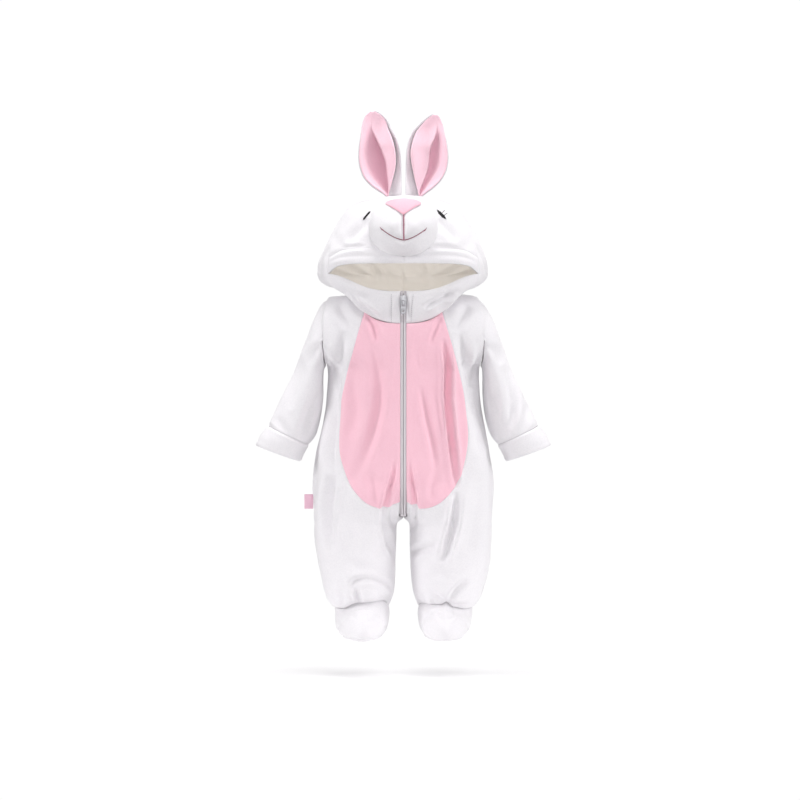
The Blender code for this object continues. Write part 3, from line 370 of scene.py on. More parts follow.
HOOD_CREASES = folds(
    View.FRONT,
    (4, 6.4, 0.25, -83.2, 93, -72.8, 105, -60.8, 118.5, -54.8, 130.5),
    (4, 6.4, 0.25, 80.2, 94.5, 69.8, 108, 59.2, 118.5, 51.8, 129),
    (3.2, 3, 0.35, -90.8, 84.8, -72.8, 87, -54.8, 85.5),
    (3, 3, 0.35, 36.8, 86.2, 56.2, 87, 80.2, 84.8),
    (1, 7, 0.35, -105.8, 109.5, -98.2, 94.5, -86.2, 82.5),
    (1, 7, 0.35, 107.2, 109.5, 99.8, 94.5, 87.8, 82.5),
    (1.4, 7, 0.35, -81.8, 144, -65.2, 148.5, -47.2, 147),
    (1.2, 7, 0.35, 81.8, 144, 65.2, 148.5, 47.2, 147),
    (5.6, 4.2, 0.6, -80, 15, -62, -2, -38, -19),
    (5.6, 4, 0.6, 31, -5, 44, 3.5, 62, 12, 80, 15),
    (3.2, 6.3, 0.35, 70, 24, 62, 6, 50, -10),
    (2.9, 7.2, 0.35, -92, 30, -80, 10, -72, -4),
    (-2.6, 5.4, 0, -107, 46, -80, 32, -60, 22, -42, 17),
    (3.8, 4.5, 0.35, -92, 22, -72, 15, -50, 8),
    (-2.6, 5.4, 0, 107, 46, 82, 33, 62, 24, 42, 17),
    (3.8, 4.5, 0.35, 88, 20, 66, 17, 48, 10),
    (1.8, 1.7, 0.35, -17.7, 18, -17.9, 0, -17.9, -26),
    (1.8, 1.7, 0.35, 14.8, 18, 13, 0, 11.5, -26),
) + folds(
    View.BACK,
    (4.9, 5.4, 0.35, -84, 66, -66, 52, -44, 36),
    (3.8, 4.5, 0.35, -48, 70, -34, 50, -30, 26),
    (4.9, 5.4, 0.35, 86, 64, 64, 50, 46, 38),
    (3.5, 4.5, 0.35, 30, 70, 38, 50, 34, 30),
    (4.1, 10.8, 0.35, -70, 120, -52, 80, -56, 40, -40, 22),
    (3.5, 10.8, 0.35, 72, 118, 58, 76, 50, 46, 38, 20),
    (3.8, 7.2, 0.35, -24, 60, -12, 42, 16, 38, 30, 50),
    (2.9, 5.9, 0.35, -50, 30, -20, 20, 14, 24),
) + folds(
    View.LEFT,
    (2.9, 8, 0.35, -30, 90, -18, 58, -6, 20),
    (3.2, 8.1, 0.35, 44, 104, 30, 58, 8, 18),
) + folds(
    View.RIGHT,
    (2.9, 8, 0.35, -27, 94, -20, 62, -4, 24),
    (3.2, 8.1, 0.35, 50, 100, 28, 62, 12, 14),
) + folds(View.BACK, (1.2, 1.8, 0, 0.8, 64.5, 1.5, 42, 0.8, 19.5))
LINING_CREASES = HOOD_CREASES + folds(
    View.BACK,
    (4.6, 3.4, 0, -107.2, 57, -87.8, 46.5, -68.2, 40.5, -41.2, 24),
    (4.6, 3.4, 0, 111.8, 56, 92.2, 48, 65.2, 39, 51.8, 25.5),
    (3, 4.6, 0, -47.2, 61.5, -30.8, 45, -26.2, 22.5),
    (3, 4.6, 0, 51.8, 61.5, 45.8, 43.5, 36.8, 22.5),
)
BACK_CREASES = folds(
    View.BACK,
    (4.2, 10.4, 0.35, -92, -25, -80, -70, -84, -130, -96, -180),
    (3.9, 10.4, 0.35, 94, -30, 82, -80, 80, -140, 92, -190),
    (3.1, 8.5, 0.35, -40, -10, -10, -28, 34, -22),
    (3.6, 10.4, 0.35, -60, -150, -20, -172, 30, -168, 64, -150),
    (4.8, 9.5, 0.45, -80, -228, -44, -262, -14, -300),
    (4.5, 9.5, 0.45, 84, -236, 48, -266, 14, -304),
    (3.9, 8.5, 0.35, -112, -292, -84, -330, -50, -346),
    (3.6, 8.5, 0.35, 110, -298, 86, -334, 46, -342),
    (3.6, 7.6, 0.35, -104, -384, -74, -392, -40, -382),
    (3.9, 7.6, 0.35, 102, -378, 72, -390, 38, -388),
    (5, 5.2, 0.5, -92, -424, -64, -416, -34, -426),
    (4.8, 5.2, 0.5, 94, -422, 66, -417, 34, -430),
    (2.8, 3.6, 0.35, -80, -438, -78, -447, -80, -455),
    (2.8, 3.6, 0.35, -48, -440, -50, -448, -48, -455),
    (2.8, 3.6, 0.35, 52, -438, 50, -447, 52, -455),
    (2.8, 3.6, 0.35, 84, -440, 82, -448, 83, -455),
) + folds(
    View.LEFT,
    (2.5, 10.4, 0.35, -20, -120, -8, -210, -18, -280, 8, -330, 10, -400),
    (2.5, 10.4, 0.35, 24, -160, 18, -240, 26, -310),
) + folds(
    View.RIGHT,
    (2.5, 10.4, 0.35, -18, -130, -10, -220, -16, -290, 10, -350),
    (2.5, 10.4, 0.35, 22, -150, 20, -250, 28, -330),
)
SUIT_CREASES = TUMMY_CREASES + TRUNK_CREASES + ANKLE_CREASES + BACK_CREASES


@dataclass(frozen=True)
class Relief:
    """What moves a piece of cloth off its plain form.

    Attributes:
        creases: The folds drawn on it.
        undulation: Its gentle unevenness.
        fade: How far from a seam the folds reach their full depth.
        calm_half: Half the width of the calm strip down the middle.
        held: Points of the seams where folds end, or None for all.
    """

    creases: tuple[Crease, ...] = ()
    undulation: Undulation = Undulation()
    fade: float = 6.0
    calm_half: float = 0.0
    held: Array | None = None

    def move(self, points: Array, outward: Array, from_seam: Array) -> Array:
        """How far each point moves along its outward direction.

        Args:
            points: Points in millimetres.
            outward: The outward direction at each point.
            from_seam: How far each point lies from a seam.

        Returns:
            The distances.
        """
        moved = self.undulation.rise(points)
        for crease in self.creases:
            moved += crease.sink(points, outward)
        from_held = from_seam if self.held is None else distance_to(points, self.held)
        moved *= smooth(from_held, 0.0, self.fade)
        if self.calm_half:
            moved *= smooth(np.abs(points[:, 0]), self.calm_half, 3.0 * self.calm_half)
        return moved


# ---- sheets


@dataclass(frozen=True)
class Cut:
    """How cloth is cut and sewn, its flat size in metres and all the rest in millimetres."""

    width: float
    length: float
    area: float
    groove: float
    roll: float
    hem: float = 0.0
    thickness: float = FLEECE


@dataclass
class Cloth:
    """A piece of cloth, gathered from grids of points and made a closed shell."""

    points: list[Array] = field(default_factory=list)
    quads: list[Array] = field(default_factory=list)

    def warped(self, warp: Callable[[Array], Array]) -> "Cloth":
        """The same cloth with its points moved."""
        return Cloth([warp(p) for p in self.points], self.quads)

    def on(self, side: str) -> "Cloth":
        """A left piece's cloth itself, or its mirror on the suit's right."""
        if side == "left":
            return self
        return Cloth([mirror(p) for p in self.points], [q[:, ::-1] for q in self.quads])

    def inset(self, distance: float) -> "Cloth":
        """The same cloth moved inwards."""
        points, quads = self.welded()
        outward = outward_of(points, quads)
        outward[np.abs(points[:, 0]) < 0.2, 0] = 0.0
        return Cloth([points - unit(outward) * distance], [quads])

    def add(self, grid: Array, turned: bool = False, wrap: bool = False) -> "Cloth":
        """Adds a grid, which faces outwards when its rows run down and its columns to the right.

        Args:
            grid: Points as (rows, columns, 3).
            turned: Whether its faces are turned over.
            wrap: Whether its last column joins its first.

        Returns:
            The cloth itself.
        """
        rows, columns = grid.shape[:2]
        start = sum(len(p) for p in self.points)
        number = np.arange(rows * columns).reshape(rows, columns) + start
        if wrap:
            number = np.concatenate((number, number[:, :1]), axis=1)
        corners = (number[:-1, :-1], number[1:, :-1], number[1:, 1:], number[:-1, 1:])
        quads = np.stack(corners, axis=-1).reshape(-1, 4)
        self.points.append(grid.reshape(-1, 3))
        self.quads.append(quads[:, ::-1] if turned else quads)
        return self

    def welded(self) -> tuple[Array, Array]:
        """The points with those that meet made one, and the faces' corners."""
        points = np.concatenate(self.points)
        quads = np.concatenate(self.quads)
        keys = np.floor(points / WELD + WELD_SHIFT).astype(np.int64)
        _, first, number = np.unique(keys, axis=0, return_index=True, return_inverse=True)
        return points[first], number.reshape(-1)[quads]

    def shell(self, cut: Cut, relief: Relief) -> Mesh:
        """The closed shell: the outer face with its folds and sunk seams, and the inner face.

        Args:
            cut: Its thickness and how it is sewn.
            relief: What moves it off its plain form.

        Returns:
            The corners and the faces.
        """
        points, quads = self.welded()
        outward = outward_of(points, quads)
        rim = rim_of(quads)
        from_seam = distance_to(points, points[np.unique(rim)])
        moved = relief.move(points, outward, from_seam)
        sunk = cut.groove * np.clip(1 - from_seam / cut.roll, 0.0, 1.0) ** 2
        if cut.hem:
            moved = moved + cut.hem * np.sin(np.pi * np.clip(from_seam / (2.4 * cut.roll), 0, 1)) ** 1.5
        points = points + rim_reach(points, rim, outward) * (SEAM_GAP / 2 + WELD)
        outer = points + outward * (moved - sunk)[:, None]
        inner = points + outward * (moved - cut.thickness)[:, None]
        count = len(points)
        faces = [unique_corners(q) for q in quads.tolist()]
        faces = [f for f in faces if len(f) > 2]
        walls = [[b, a, a + count, b + count] for a, b in rim.tolist()]
        inside = [[c + count for c in face[::-1]] for face in faces]
        return np.concatenate((outer, inner)), faces + inside + walls


def unique_corners(face: list[int]) -> list[int]:
    """A face's corners, each named once."""
    return [c for k, c in enumerate(face) if c != face[k - 1]]


def outward_of(points: Array, quads: Array) -> Array:
    """The outward direction at each point of a sheet."""
    diagonals = points[quads[:, 2]] - points[quads[:, 0]], points[quads[:, 3]] - points[quads[:, 1]]
    ways = np.cross(*diagonals)
    outward = np.zeros_like(points)
    for corner in range(4):
        np.add.at(outward, quads[:, corner], ways)
    return unit(outward)


def rim_of(quads: Array) -> Array:
    """The edges that only one face has, each in its face's direction."""
    edges = np.concatenate([quads[:, (k, (k + 1) % 4)] for k in range(4)])
    edges = edges[edges[:, 0] != edges[:, 1]]
    keys = np.sort(edges, axis=1)
    _, first, count = np.unique(keys, axis=0, return_index=True, return_counts=True)
    return edges[first[count == 1]]


def rim_reach(points: Array, rim: Array, outward: Array) -> Array:
    """The direction across the seam at each point of the rim, and nothing elsewhere."""
    start, end = rim[:, 0], rim[:, 1]
    ways = np.cross(points[end] - points[start], outward[start] + outward[end])
    reach = np.zeros_like(points)
    for corner in (start, end):
        np.add.at(reach, corner, ways)
    return unit(reach)


def distance_to(points: Array, others: Array) -> Array:
    """How far each point lies from the nearest of the others."""
    nearest = np.full(len(points), np.inf)
    for start in range(0, len(others), CHUNK):
        some = others[start : start + CHUNK]
        gaps = (points**2).sum(1)[:, None] + (some**2).sum(1)[None] - 2 * points @ some.T
        nearest = np.minimum(nearest, gaps.min(axis=1))
    return np.sqrt(np.maximum(nearest, 0.0))


class Look(NamedTuple):
    """A finish as built: its material and the slot of the record that it stands for."""

    material: bpy.types.Material
    slot: str


def show(name: str, data: Any) -> Piece:
    """Puts an object with its data in the scene."""
    piece = bpy.data.objects.new(name, data)
    bpy.context.scene.collection.objects.link(piece)
    return piece


def put(name: str, corners: Array, faces: list[list[int]], material: bpy.types.Material) -> Piece:
    """Puts a mesh in the scene, its corners turned to metres.

    Args:
        name: The piece's name.
        corners: Its corners in millimetres.
        faces: The corners of each face.
        material: Its finish.

    Returns:
        The piece.
    """
    mesh = bpy.data.meshes.new(name)
    mesh.from_pydata((np.asarray(corners, float) * METRES).tolist(), [], faces)
    mesh.materials.append(material)
    mesh.shade_smooth()
    mesh.validate()
    return show(name, mesh)


def baked(piece: Piece, name: str) -> bpy.types.Mesh:
    """A plain mesh of an object as its modifiers leave it."""
    graph = bpy.context.evaluated_depsgraph_get()
    mesh = bpy.data.meshes.new_from_object(piece.evaluated_get(graph), depsgraph=graph)
    mesh.name = name
    return mesh


def dress(piece: Piece, look: Look, replaces: tuple[str, ...] = (), body: str = SUIT) -> Piece:
    """Rides a piece on its body and hides the nodes that it stands for."""
    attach(piece, body)
    if replaces:
        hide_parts(*replaces)
    log.info("%s: %d faces", piece.name, len(piece.data.polygons))
    return piece


def sew(node: str, cloth: Cloth, look: Look, cut: Cut, relief: Relief, name: str | None = None) -> Piece:
    """Args:
        node: The node that it stands for.
        cloth: Its plain form.
        look: Its finish.
        cut: How it is cut and sewn.
        relief: What moves it off its plain form.
        name: Its name, where that doesn't follow from the node's.

    Returns:
        The piece.
    """
    piece = put(name or f"{node}_cloth", *cloth.shell(cut, relief), look.material)
    dress(piece, look, (node,))
    return piece


# ---- finishes


class Nodes:
    """Short ways to build a shader's nodes."""

    def __init__(self, tree: Tree) -> None:
        """Takes the tree that the nodes go in."""
        self.tree = tree

    def add(self, kind: str, **settings: Any) -> bpy.types.Node:
        """Adds a node with its settings."""
        node = self.tree.nodes.new(kind)
        for name, value in settings.items():
            setattr(node, name, value)
        return node

    def link(self, start: Any, end: Socket) -> None:
        """Links an output to an input, or gives the input a plain value."""
        if isinstance(start, Socket):
            self.tree.links.new(start, end)
        else:
            end.default_value = start

    def math(self, operation: str, first: Any, second: Any = 0.0) -> Socket:
        """A sum of two outputs or numbers."""
        node = self.add("ShaderNodeMath", operation=operation)
        self.link(first, node.inputs[0])
        self.link(second, node.inputs[1])
        return node.outputs[0]

    def noise(self, vector: Any, scale: Any, detail: float = 2.0, rough: float = 0.5) -> Socket:
        """Noise over an object's own coordinates."""
        node = self.add("ShaderNodeTexNoise")
        for title, value in (("Vector", vector), ("Scale", scale), ("Detail", detail), ("Roughness", rough)):
            self.link(value, node.inputs[title])
        return node.outputs["Fac"]

    def mix(self, share: Socket, first: Any, second: Any) -> Socket:
        """A mix of two colours."""
        node = self.add("ShaderNodeMix", data_type="RGBA")
        self.link(share, node.inputs["Factor"])
        for title, colour in (("A", first), ("B", second)):
            self.link(colour if isinstance(colour, Socket) else (*colour, 1.0), node.inputs[title])
        return node.outputs["Result"]

    def bump(self, height: Socket, distance: Any) -> Socket:
        """The normal of a height over the surface."""
        node = self.add("ShaderNodeBump")
        for title, value in (("Height", height), ("Distance", distance), ("Strength", 1.0)):
            self.link(value, node.inputs[title])
        return node.outputs["Normal"]


class ClothGroup:
    """A node group that takes two colours and some sizes, and gives a cloth's colour and normal."""

    def __init__(self, name: str, sizes: dict[str, float]) -> None:
        """Makes the group and its named sockets.

        Args:
            name: Its name.
            sizes: Each size's name and usual value.
        """
        self.tree = bpy.data.node_groups.new(name, "ShaderNodeTree")
        sockets = self.tree.interface
        for title, grey in (("Colour", 0.8), ("Shade", 0.6)):
            socket = sockets.new_socket(title, in_out="INPUT", socket_type="NodeSocketColor")
            socket.default_value = (grey, grey, grey, 1.0)
        for title, size in sizes.items():
            sockets.new_socket(title, in_out="INPUT", socket_type="NodeSocketFloat").default_value = size
        for title, kind in (("Color", "NodeSocketColor"), ("Normal", "NodeSocketVector")):
            sockets.new_socket(title, in_out="OUTPUT", socket_type=kind)
        self.made = Nodes(self.tree)
        self.given = self.made.add("NodeGroupInput").outputs
        self.out = self.made.add("NodeGroupOutput").inputs
        self.place = self.made.add("ShaderNodeTexCoord").outputs["Object"]

    def ended(self, share: Socket, height: Socket, reach: str) -> Tree:
        """The group with its outputs linked.

        Args:
            share: How much of the shade shows.
            height: The height over the surface.
            reach: The name of the size that says how high that is.

        Returns:
            The group.
        """
        made = self.made
        clamp = made.add("ShaderNodeClamp")
        made.link(share, clamp.inputs["Value"])
        made.link(made.mix(clamp.outputs[0], self.given["Colour"], self.given["Shade"]), self.out["Color"])
        made.link(made.bump(height, self.given[reach]), self.out["Normal"])
        return self.tree


def pile_group() -> Tree:
    """Short brushed pile: small tufts, finer hairs, a faint cloudiness in the colour, and painted shade in
    the pits between tufts.

    Returns:
        The group.
    """
    group = ClothGroup("Brushed pile", {"Tuft size": 0.002, "Tuft height": 0.0006, "Cloudiness": 0.3})
    made, given = group.made, group.given
    scale = made.math("DIVIDE", 1.0, given["Tuft size"])
    tufts = made.noise(group.place, scale, 3.0, 0.65)
    fine = made.noise(group.place, made.math("MULTIPLY", scale, 3.4), 2.0, 0.6)
    clouds = made.noise(group.place, 46.0, 3.0, 0.55)
    height = made.math("ADD", tufts, made.math("MULTIPLY", fine, 0.4))
    dark = made.math("MULTIPLY", made.math("SUBTRACT", clouds, 0.35), given["Cloudiness"])
    # Painted shade: the colour darkens where the tufts are low.
    painted_pit_shade = made.math("MULTIPLY", made.math("SUBTRACT", 0.56, tufts), 1.1)
    return group.ended(made.math("ADD", dark, painted_pit_shade), height, "Tuft height")


def weave_group() -> Tree:
    """Fine woven or knitted cloth: two crossed sets of ribs and a little noise.

    Returns:
        The group.
    """
    group = ClothGroup("Fine weave", {"Rib size": 0.0008, "Rib height": 0.0002})
    made = group.made
    parts = made.add("ShaderNodeSeparateXYZ")
    made.link(group.place, parts.inputs[0])
    turn = made.math("DIVIDE", 2 * math.pi, group.given["Rib size"])
    across = made.math("SINE", made.math("MULTIPLY", parts.outputs["X"], turn))
    up = made.math("SINE", made.math("MULTIPLY", parts.outputs["Z"], turn))
    ribs = made.math("MULTIPLY", across, up)
    clouds = made.noise(group.place, 60.0, 3.0, 0.5)
    height = made.math("ADD", made.math("MULTIPLY", ribs, 0.35), made.noise(group.place, 900.0))
    share = made.math("ADD", made.math("MULTIPLY", ribs, 0.15), made.math("MULTIPLY", clouds, 0.5))
    return group.ended(share, height, "Rib height")


def principled(name: str, values: dict[str, Any]) -> tuple[bpy.types.Material, Nodes, Any]:
    """A new material with one plain shader.

    Args:
        name: Its name.
        values: The values of some of the shader's inputs.

    Returns:
        The material, a builder for its nodes, and the shader's inputs.
    """
    material = bpy.data.materials.new(name)
    material.use_nodes = True
    inputs = material.node_tree.nodes["Principled BSDF"].inputs
    for title, value in values.items():
        inputs[title].default_value = value
    return material, Nodes(material.node_tree), inputs


@dataclass(frozen=True)
class ClothFinish:
    """A cloth's finish. Its tufts' or ribs' size and height are in metres, and only a pile is cloudy. A fold
    colour is painted shade, mixed in where the mesh's painted-shade mask is high.
    """

    name: str
    slot: str
    colour: Triple
    shade: Triple
    size: float
    height: float
    cloudiness: float | None = None
    # The fold colour is painted shade for a hollow, not the cloth's own colour.
    fold: Triple | None = None

    def build(self, pile: Tree, weave: Tree) -> Look:
        """Makes the material on the group for a pile or a weave.

        Args:
            pile: The pile's group.
            weave: The weave's group.

        Returns:
            The finish made.
        """
        brushed = self.cloudiness is not None
        sheen = {"Sheen Weight": PILE_SHEEN if brushed else WEAVE_SHEEN, "Sheen Roughness": 0.6}
        values = {"Roughness": 0.95, "Specular IOR Level": 0.15, **sheen}
        material, made, shader = principled(self.name, values)
        surface = made.add("ShaderNodeGroup", node_tree=pile if brushed else weave)
        grain = "Tuft" if brushed else "Rib"
        surface.inputs["Colour"].default_value = (*self.colour, 1.0)
        surface.inputs["Shade"].default_value = (*self.shade, 1.0)
        surface.inputs[f"{grain} size"].default_value = self.size
        surface.inputs[f"{grain} height"].default_value = self.height
        if brushed:
            surface.inputs["Cloudiness"].default_value = self.cloudiness
        colour = surface.outputs["Color"]
        # Painted shade: the colour darkens towards the fold colour where the mesh's painted-shade mask is
        # high.
        if self.fold:
            depth = made.add("ShaderNodeAttribute", attribute_name=HOLLOW_SHADE).outputs["Fac"]
            colour = made.mix(depth, colour, self.fold)
        made.link(colour, shader["Base Color"])
        made.link(surface.outputs["Normal"], shader["Normal"])
        return Look(material, self.slot)


@dataclass(frozen=True)
class SmoothFinish:
    """A thread's, a moulded or a metal finish, with a fine grain whose size and depth are in metres."""

    name: str
    slot: str
    colour: Triple
    roughness: float
    sheen: float = 0.0
    metallic: float = 0.0
    grain: float = 0.0004
    depth: float = 0.00003

    def build(self) -> Look:
        """Makes the material.

        Returns:
            The finish made.
        """
        values = {"Metallic": self.metallic, "Sheen Weight": self.sheen}
        material, made, shader = principled(self.name, values)
        place = made.add("ShaderNodeTexCoord").outputs["Object"]
        grain = made.noise(place, 1.0 / self.grain, 3.0, 0.6)
        dim = tuple(0.82 * c for c in self.colour)
        made.link(made.mix(grain, self.colour, dim), shader["Base Color"])
        rough = made.math("ADD", self.roughness - 0.06, made.math("MULTIPLY", grain, 0.12))
        made.link(rough, shader["Roughness"])
        made.link(made.bump(grain, self.depth), shader["Normal"])
        return Look(material, self.slot)


PILE_SHEEN = 0.55
WEAVE_SHEEN = 0.1
CLOTHS = {
    name: ClothFinish(*row)
    for name, *row in (
        (
            "white", "White fleece", "white_fleece", (0.86, 0.84, 0.865), (0.72, 0.7, 0.74),
            0.0022, 0.0005, 0.3,
        ),
        ("rose", "Rose fleece", "rose_fleece", (0.97, 0.59, 0.69), (0.91, 0.50, 0.60), 0.0022, 0.0006, 0.4),
        # The nose's colours are the rose fleece painted darker: painted shade that tones down the strong
        # light on the nose.
        ("nose", "Nose fleece", "rose_fleece", (0.93, 0.49, 0.59), (0.88, 0.42, 0.52), 0.0022, 0.0004, 0.4),
        (
            # The ear's first two colours are the rose fleece painted lighter, as painted light on the ears.
            "ear", "Ear fleece", "rose_fleece", (1, 0.68, 0.78), (0.97, 0.60, 0.70), 0.0022, 0.0006, 0.4,
            # Painted shade for the ear's hollow.
            (0.80, 0.46, 0.56),
        ),
        ("lining", "Cream lining", "cream_lining", (0.90, 0.87, 0.83), (0.84, 0.79, 0.74), 0.0012, 0.0002),
        ("ribbon", "Mauve ribbon", "rose_fleece", (0.87, 0.56, 0.68), (0.79, 0.49, 0.61), 0.0008, 0.0002),
        ("tape", "Woven zip tape", "zip_tape", (0.97, 0.91, 0.93), (0.90, 0.82, 0.85), 0.0009, 0.0002),
    )
}
SMOOTHS = {
    name: SmoothFinish(*row)
    for name, *row in (
        ("teeth", "Grey zip coil", "zip_teeth", (0.80, 0.76, 0.79), 0.5),
        ("metal", "Satin zip metal", "zip_metal", (0.60, 0.60, 0.63), 0.42, 0, 0.6, 0.0006, 0.00001),
        ("black", "Black thread", "zip_tape", (0.012, 0.011, 0.013), 0.6, 0.1),
        ("plum", "Plum thread", "zip_tape", (0.30, 0.09, 0.14), 0.6, 0.2),
        ("thread", "White thread", "white_fleece", (0.62, 0.60, 0.63), 0.7, 0.2),
        ("rose_thread", "Rose thread", "zip_tape", (0.50, 0.17, 0.25), 0.65, 0.2),
    )
}


@dataclass
class Finishes:
    """Every finish of the suit."""

    white: Look
    rose: Look
    nose: Look
    ear: Look
    lining: Look
    ribbon: Look
    tape: Look
    teeth: Look
    metal: Look
    black: Look
    plum: Look
    thread: Look
    rose_thread: Look

    @classmethod
    def built(cls) -> "Finishes":
        """Builds each finish once."""
        groups = pile_group(), weave_group()
        cloths = {name: finish.build(*groups) for name, finish in CLOTHS.items()}
        return cls(**cloths, **{name: finish.build() for name, finish in SMOOTHS.items()})


# ---- the body's form


class Level(NamedTuple):
    """One level of the body and legs, shoulder to ankle."""

    side_z: float
    middle_z: float
    half_width: float
    arm_depth: float
    front: float
    back: float
    split: float
    gap: float


BODY = rows_of(
    Level,
    (0.4, 13, 117.2, -22, -34, -30, 0, 0), (7, 23, 114, 0, 0, 0, 0, 0), (0.4, 13, 117.2, 22, 30, 34, 0, 0),
    (-17.8, -8, 119.9, 38.1, 50, 53, 0, 0), (-42.5, -36, 121, 44, 61, 63, 0, 0),
    (-67.3, -64, 120.6, 38.1, 67, 68, 0, 0), (-85.4, -84, 118.3, 22, 70, 70, 0, 0),
    (-92, -98, 115.5, 0, 71.5, 70.5, 0, 0), (-112, -116, 113.6, 0, 73, 70, 0, 0),
    (-140, -142, 115, 0, 74.5, 70, 0, 0), (-166, -167, 118, 0, 75.5, 71, 0, 0),
    (-196, -196, 124, 0, 76, 73, 0, 0), (-220, -220, 129.5, 0, 76, 75, 0, 0),
    (-244, -244, 133.5, 0, 75, 76, 0, 0), (-263, -263, 135, 0, 73.5, 76, 0, 0),
    (-278, -278, 135.3, 0, 71.5, 75, 0.25, 0), (-291, -291, 135.4, 0, 69, 73, 0.47, 0),
    (-303, -303, 135.4, 0, 66, 70, 0.67, 0), (-313, -313, 135.2, 0, 63.5, 67, 0.85, 0),
    (-322, -322, 135, 0, 61.5, 64, 1, 0.6), (-331, -331, 134.8, 0, 60, 62, 1, 9),
    (-347, -347, 134, 0, 58.5, 60, 1, 10.6), (-366, -366, 132.4, 0, 57.5, 58, 1, 10.4),
    (-388, -388, 129.6, 0, 57, 56.5, 1, 11), (-410, -410, 125.5, 0, 56.5, 54.5, 1, 12),
    (-430, -430, 121.5, 0, 55.5, 52, 1, 14), (-444, -444, 116.5, 0, 52, 48, 1, 17.5),
    (-452, -452, 110.5, 0, 47, 44, 1, 20.5), (-456, -456, 105.5, 0, 42, 41, 1, 21.5),
)
SHOULDER = 0.0
ARMPIT = 6.0
CROTCH = 18.0
ANKLE = 27.0
NECK_SIDE_X = -60.0
NECK_BACK_LEVEL = 1.1
TUMMY_TOP = ((-58, -10), (-46.5, -18.2), (-34.5, -23.4), (-23, -26), (-12.5, -27), (-ZIP_HALF, -27))
TUMMY_SIDE = (
    (-58, -10), (-66, -36), (-74, -65), (-82.5, -96), (-90, -128), (-94.5, -160), (-96.8, -192),
    (-95.2, -221), (-89, -247), (-79.5, -269), (-66.5, -286),
)
TUMMY_BOTTOM = (
    (-66.5, -286), (-54.5, -296.5), (-40, -303.3), (-27, -304.8), (-14.5, -299.7), (-ZIP_HALF, -295.5),
)
ZIP_FOOT = ((-ZIP_HALF, -303.5), (-ZIP_HALF, -311.5), (-ZIP_HALF, -319.5))
SIDE_LEVELS = (2.25, 3, 3.75, 4.5, 5.25, 6, 8, 10, 11.5, 12.8, 14)
UPPER_LEVELS = (0, 0.75, 1.5) + SIDE_LEVELS
YOKE_END = 2.25
LEG_LENGTH = 141.0


class BodyForm:
    """The body's and legs' outer form, worked out from the table of levels."""

    table = np.array(BODY)

    def sizes(self, level: Array) -> Array:
        """The sizes at each level, the last axis as in Level."""
        rows = read_table(self.table, np.asarray(level, float) + 1.0)
        rows[..., 6] = np.clip(rows[..., 6], 0.0, 1.0)
        rows[..., 7] = np.maximum(rows[..., 7], 0.0)
        return rows

    def last_angle(self, level: Array) -> Array:
        """The angle at which a level's section reaches the middle or the inside of the leg."""
        return np.arccos(-self.sizes(level)[..., 6])

    def point(self, angle: Array, level: Array, facing: int) -> Array:
        """Points of the left half, angle 0 at the side, facing -1 in front and 1 behind.

        Args:
            angle: Angles round it.
            level: Levels down it.
            facing: The half, front or back.

        Returns:
            The points.
        """
        side_z, middle_z, half, arm, front, back, split, gap = np.moveaxis(self.sizes(level), -1, 0)
        reach = (half - gap) / (1 + split)
        full = 1 + np.where(angle < np.pi / 2, FULLNESS * np.sin(2 * angle) ** 2, 0.0)
        depth = front if facing < 0 else back
        share = angle / np.arccos(-split)
        x = reach - half - reach * np.cos(angle) * full
        y = facing * (arm + (depth - arm) * np.sin(angle))
        return joined(x, y, side_z + (middle_z - side_z) * share)

    def outward(self, angle: Array, level: Array, facing: int) -> Array:
        """The direction straight out of the body at each place."""
        step = 0.01
        across = self.point(angle + step, level, facing) - self.point(angle - step, level, facing)
        down = self.point(angle, level + step, facing) - self.point(angle, level - step, facing)
        return unit(np.cross(down, across) * -facing)

    def angle_at(self, x: Array, level: Array) -> Array:
        """The front's angle at each x."""
        last = self.last_angle(level)
        return halve(lambda a: self.point(a, level, -1)[..., 0] > x, np.zeros_like(last), last)

    def places(self, spots: Any) -> Array:
        """The (angle, level) of each spot on the front.

        Args:
            spots: Spots as (across, up).

        Returns:
            The places.
        """
        spots = np.asarray(spots, float)
        x, z = spots[..., 0], spots[..., 1]
        level = halve(
            lambda v: self.point(self.angle_at(x, v), v, -1)[..., 2] < z,
            np.full(x.shape, SHOULDER),
            np.full(x.shape, ANKLE),
        )
        return joined(self.angle_at(x, level), level)

    def patch(self, places: Array, facing: int) -> Array:
        """The points of a grid of (angle, level) places."""
        return self.point(places[..., 0], places[..., 1], facing)

    def neck_side(self) -> Array:
        """The place where the shoulder meets the neckline."""
        return joined(self.angle_at(NECK_SIDE_X, SHOULDER), SHOULDER)

    def neckline(self, place: Array) -> Array:
        """Points along the neckline, from 0 at the zip by 8 at the shoulder to 11 behind.

        Args:
            place: Places along it.

        Returns:
            The points.
        """
        front = self.places(TUMMY_TOP[::-1])
        side = self.neck_side()
        behind = np.array((np.pi / 2, NECK_BACK_LEVEL))
        share = np.clip((place - 5) / 3, 0, 1)[..., None]
        shoulder = front[-1] + (side - front[-1]) * share
        before = np.where((place <= 5)[..., None], read_table(front, place), shoulder)
        share = np.clip((place - 8) / 3, 0, 1)[..., None]
        after = side + (behind - side) * share
        points = [
            self.patch(spots, facing) + LIFT * self.outward(spots[..., 0], spots[..., 1], facing)
            for spots, facing in ((before, -1), (after, 1))
        ]
        return centred(np.where((place <= 8)[..., None], *points), within=0.4)


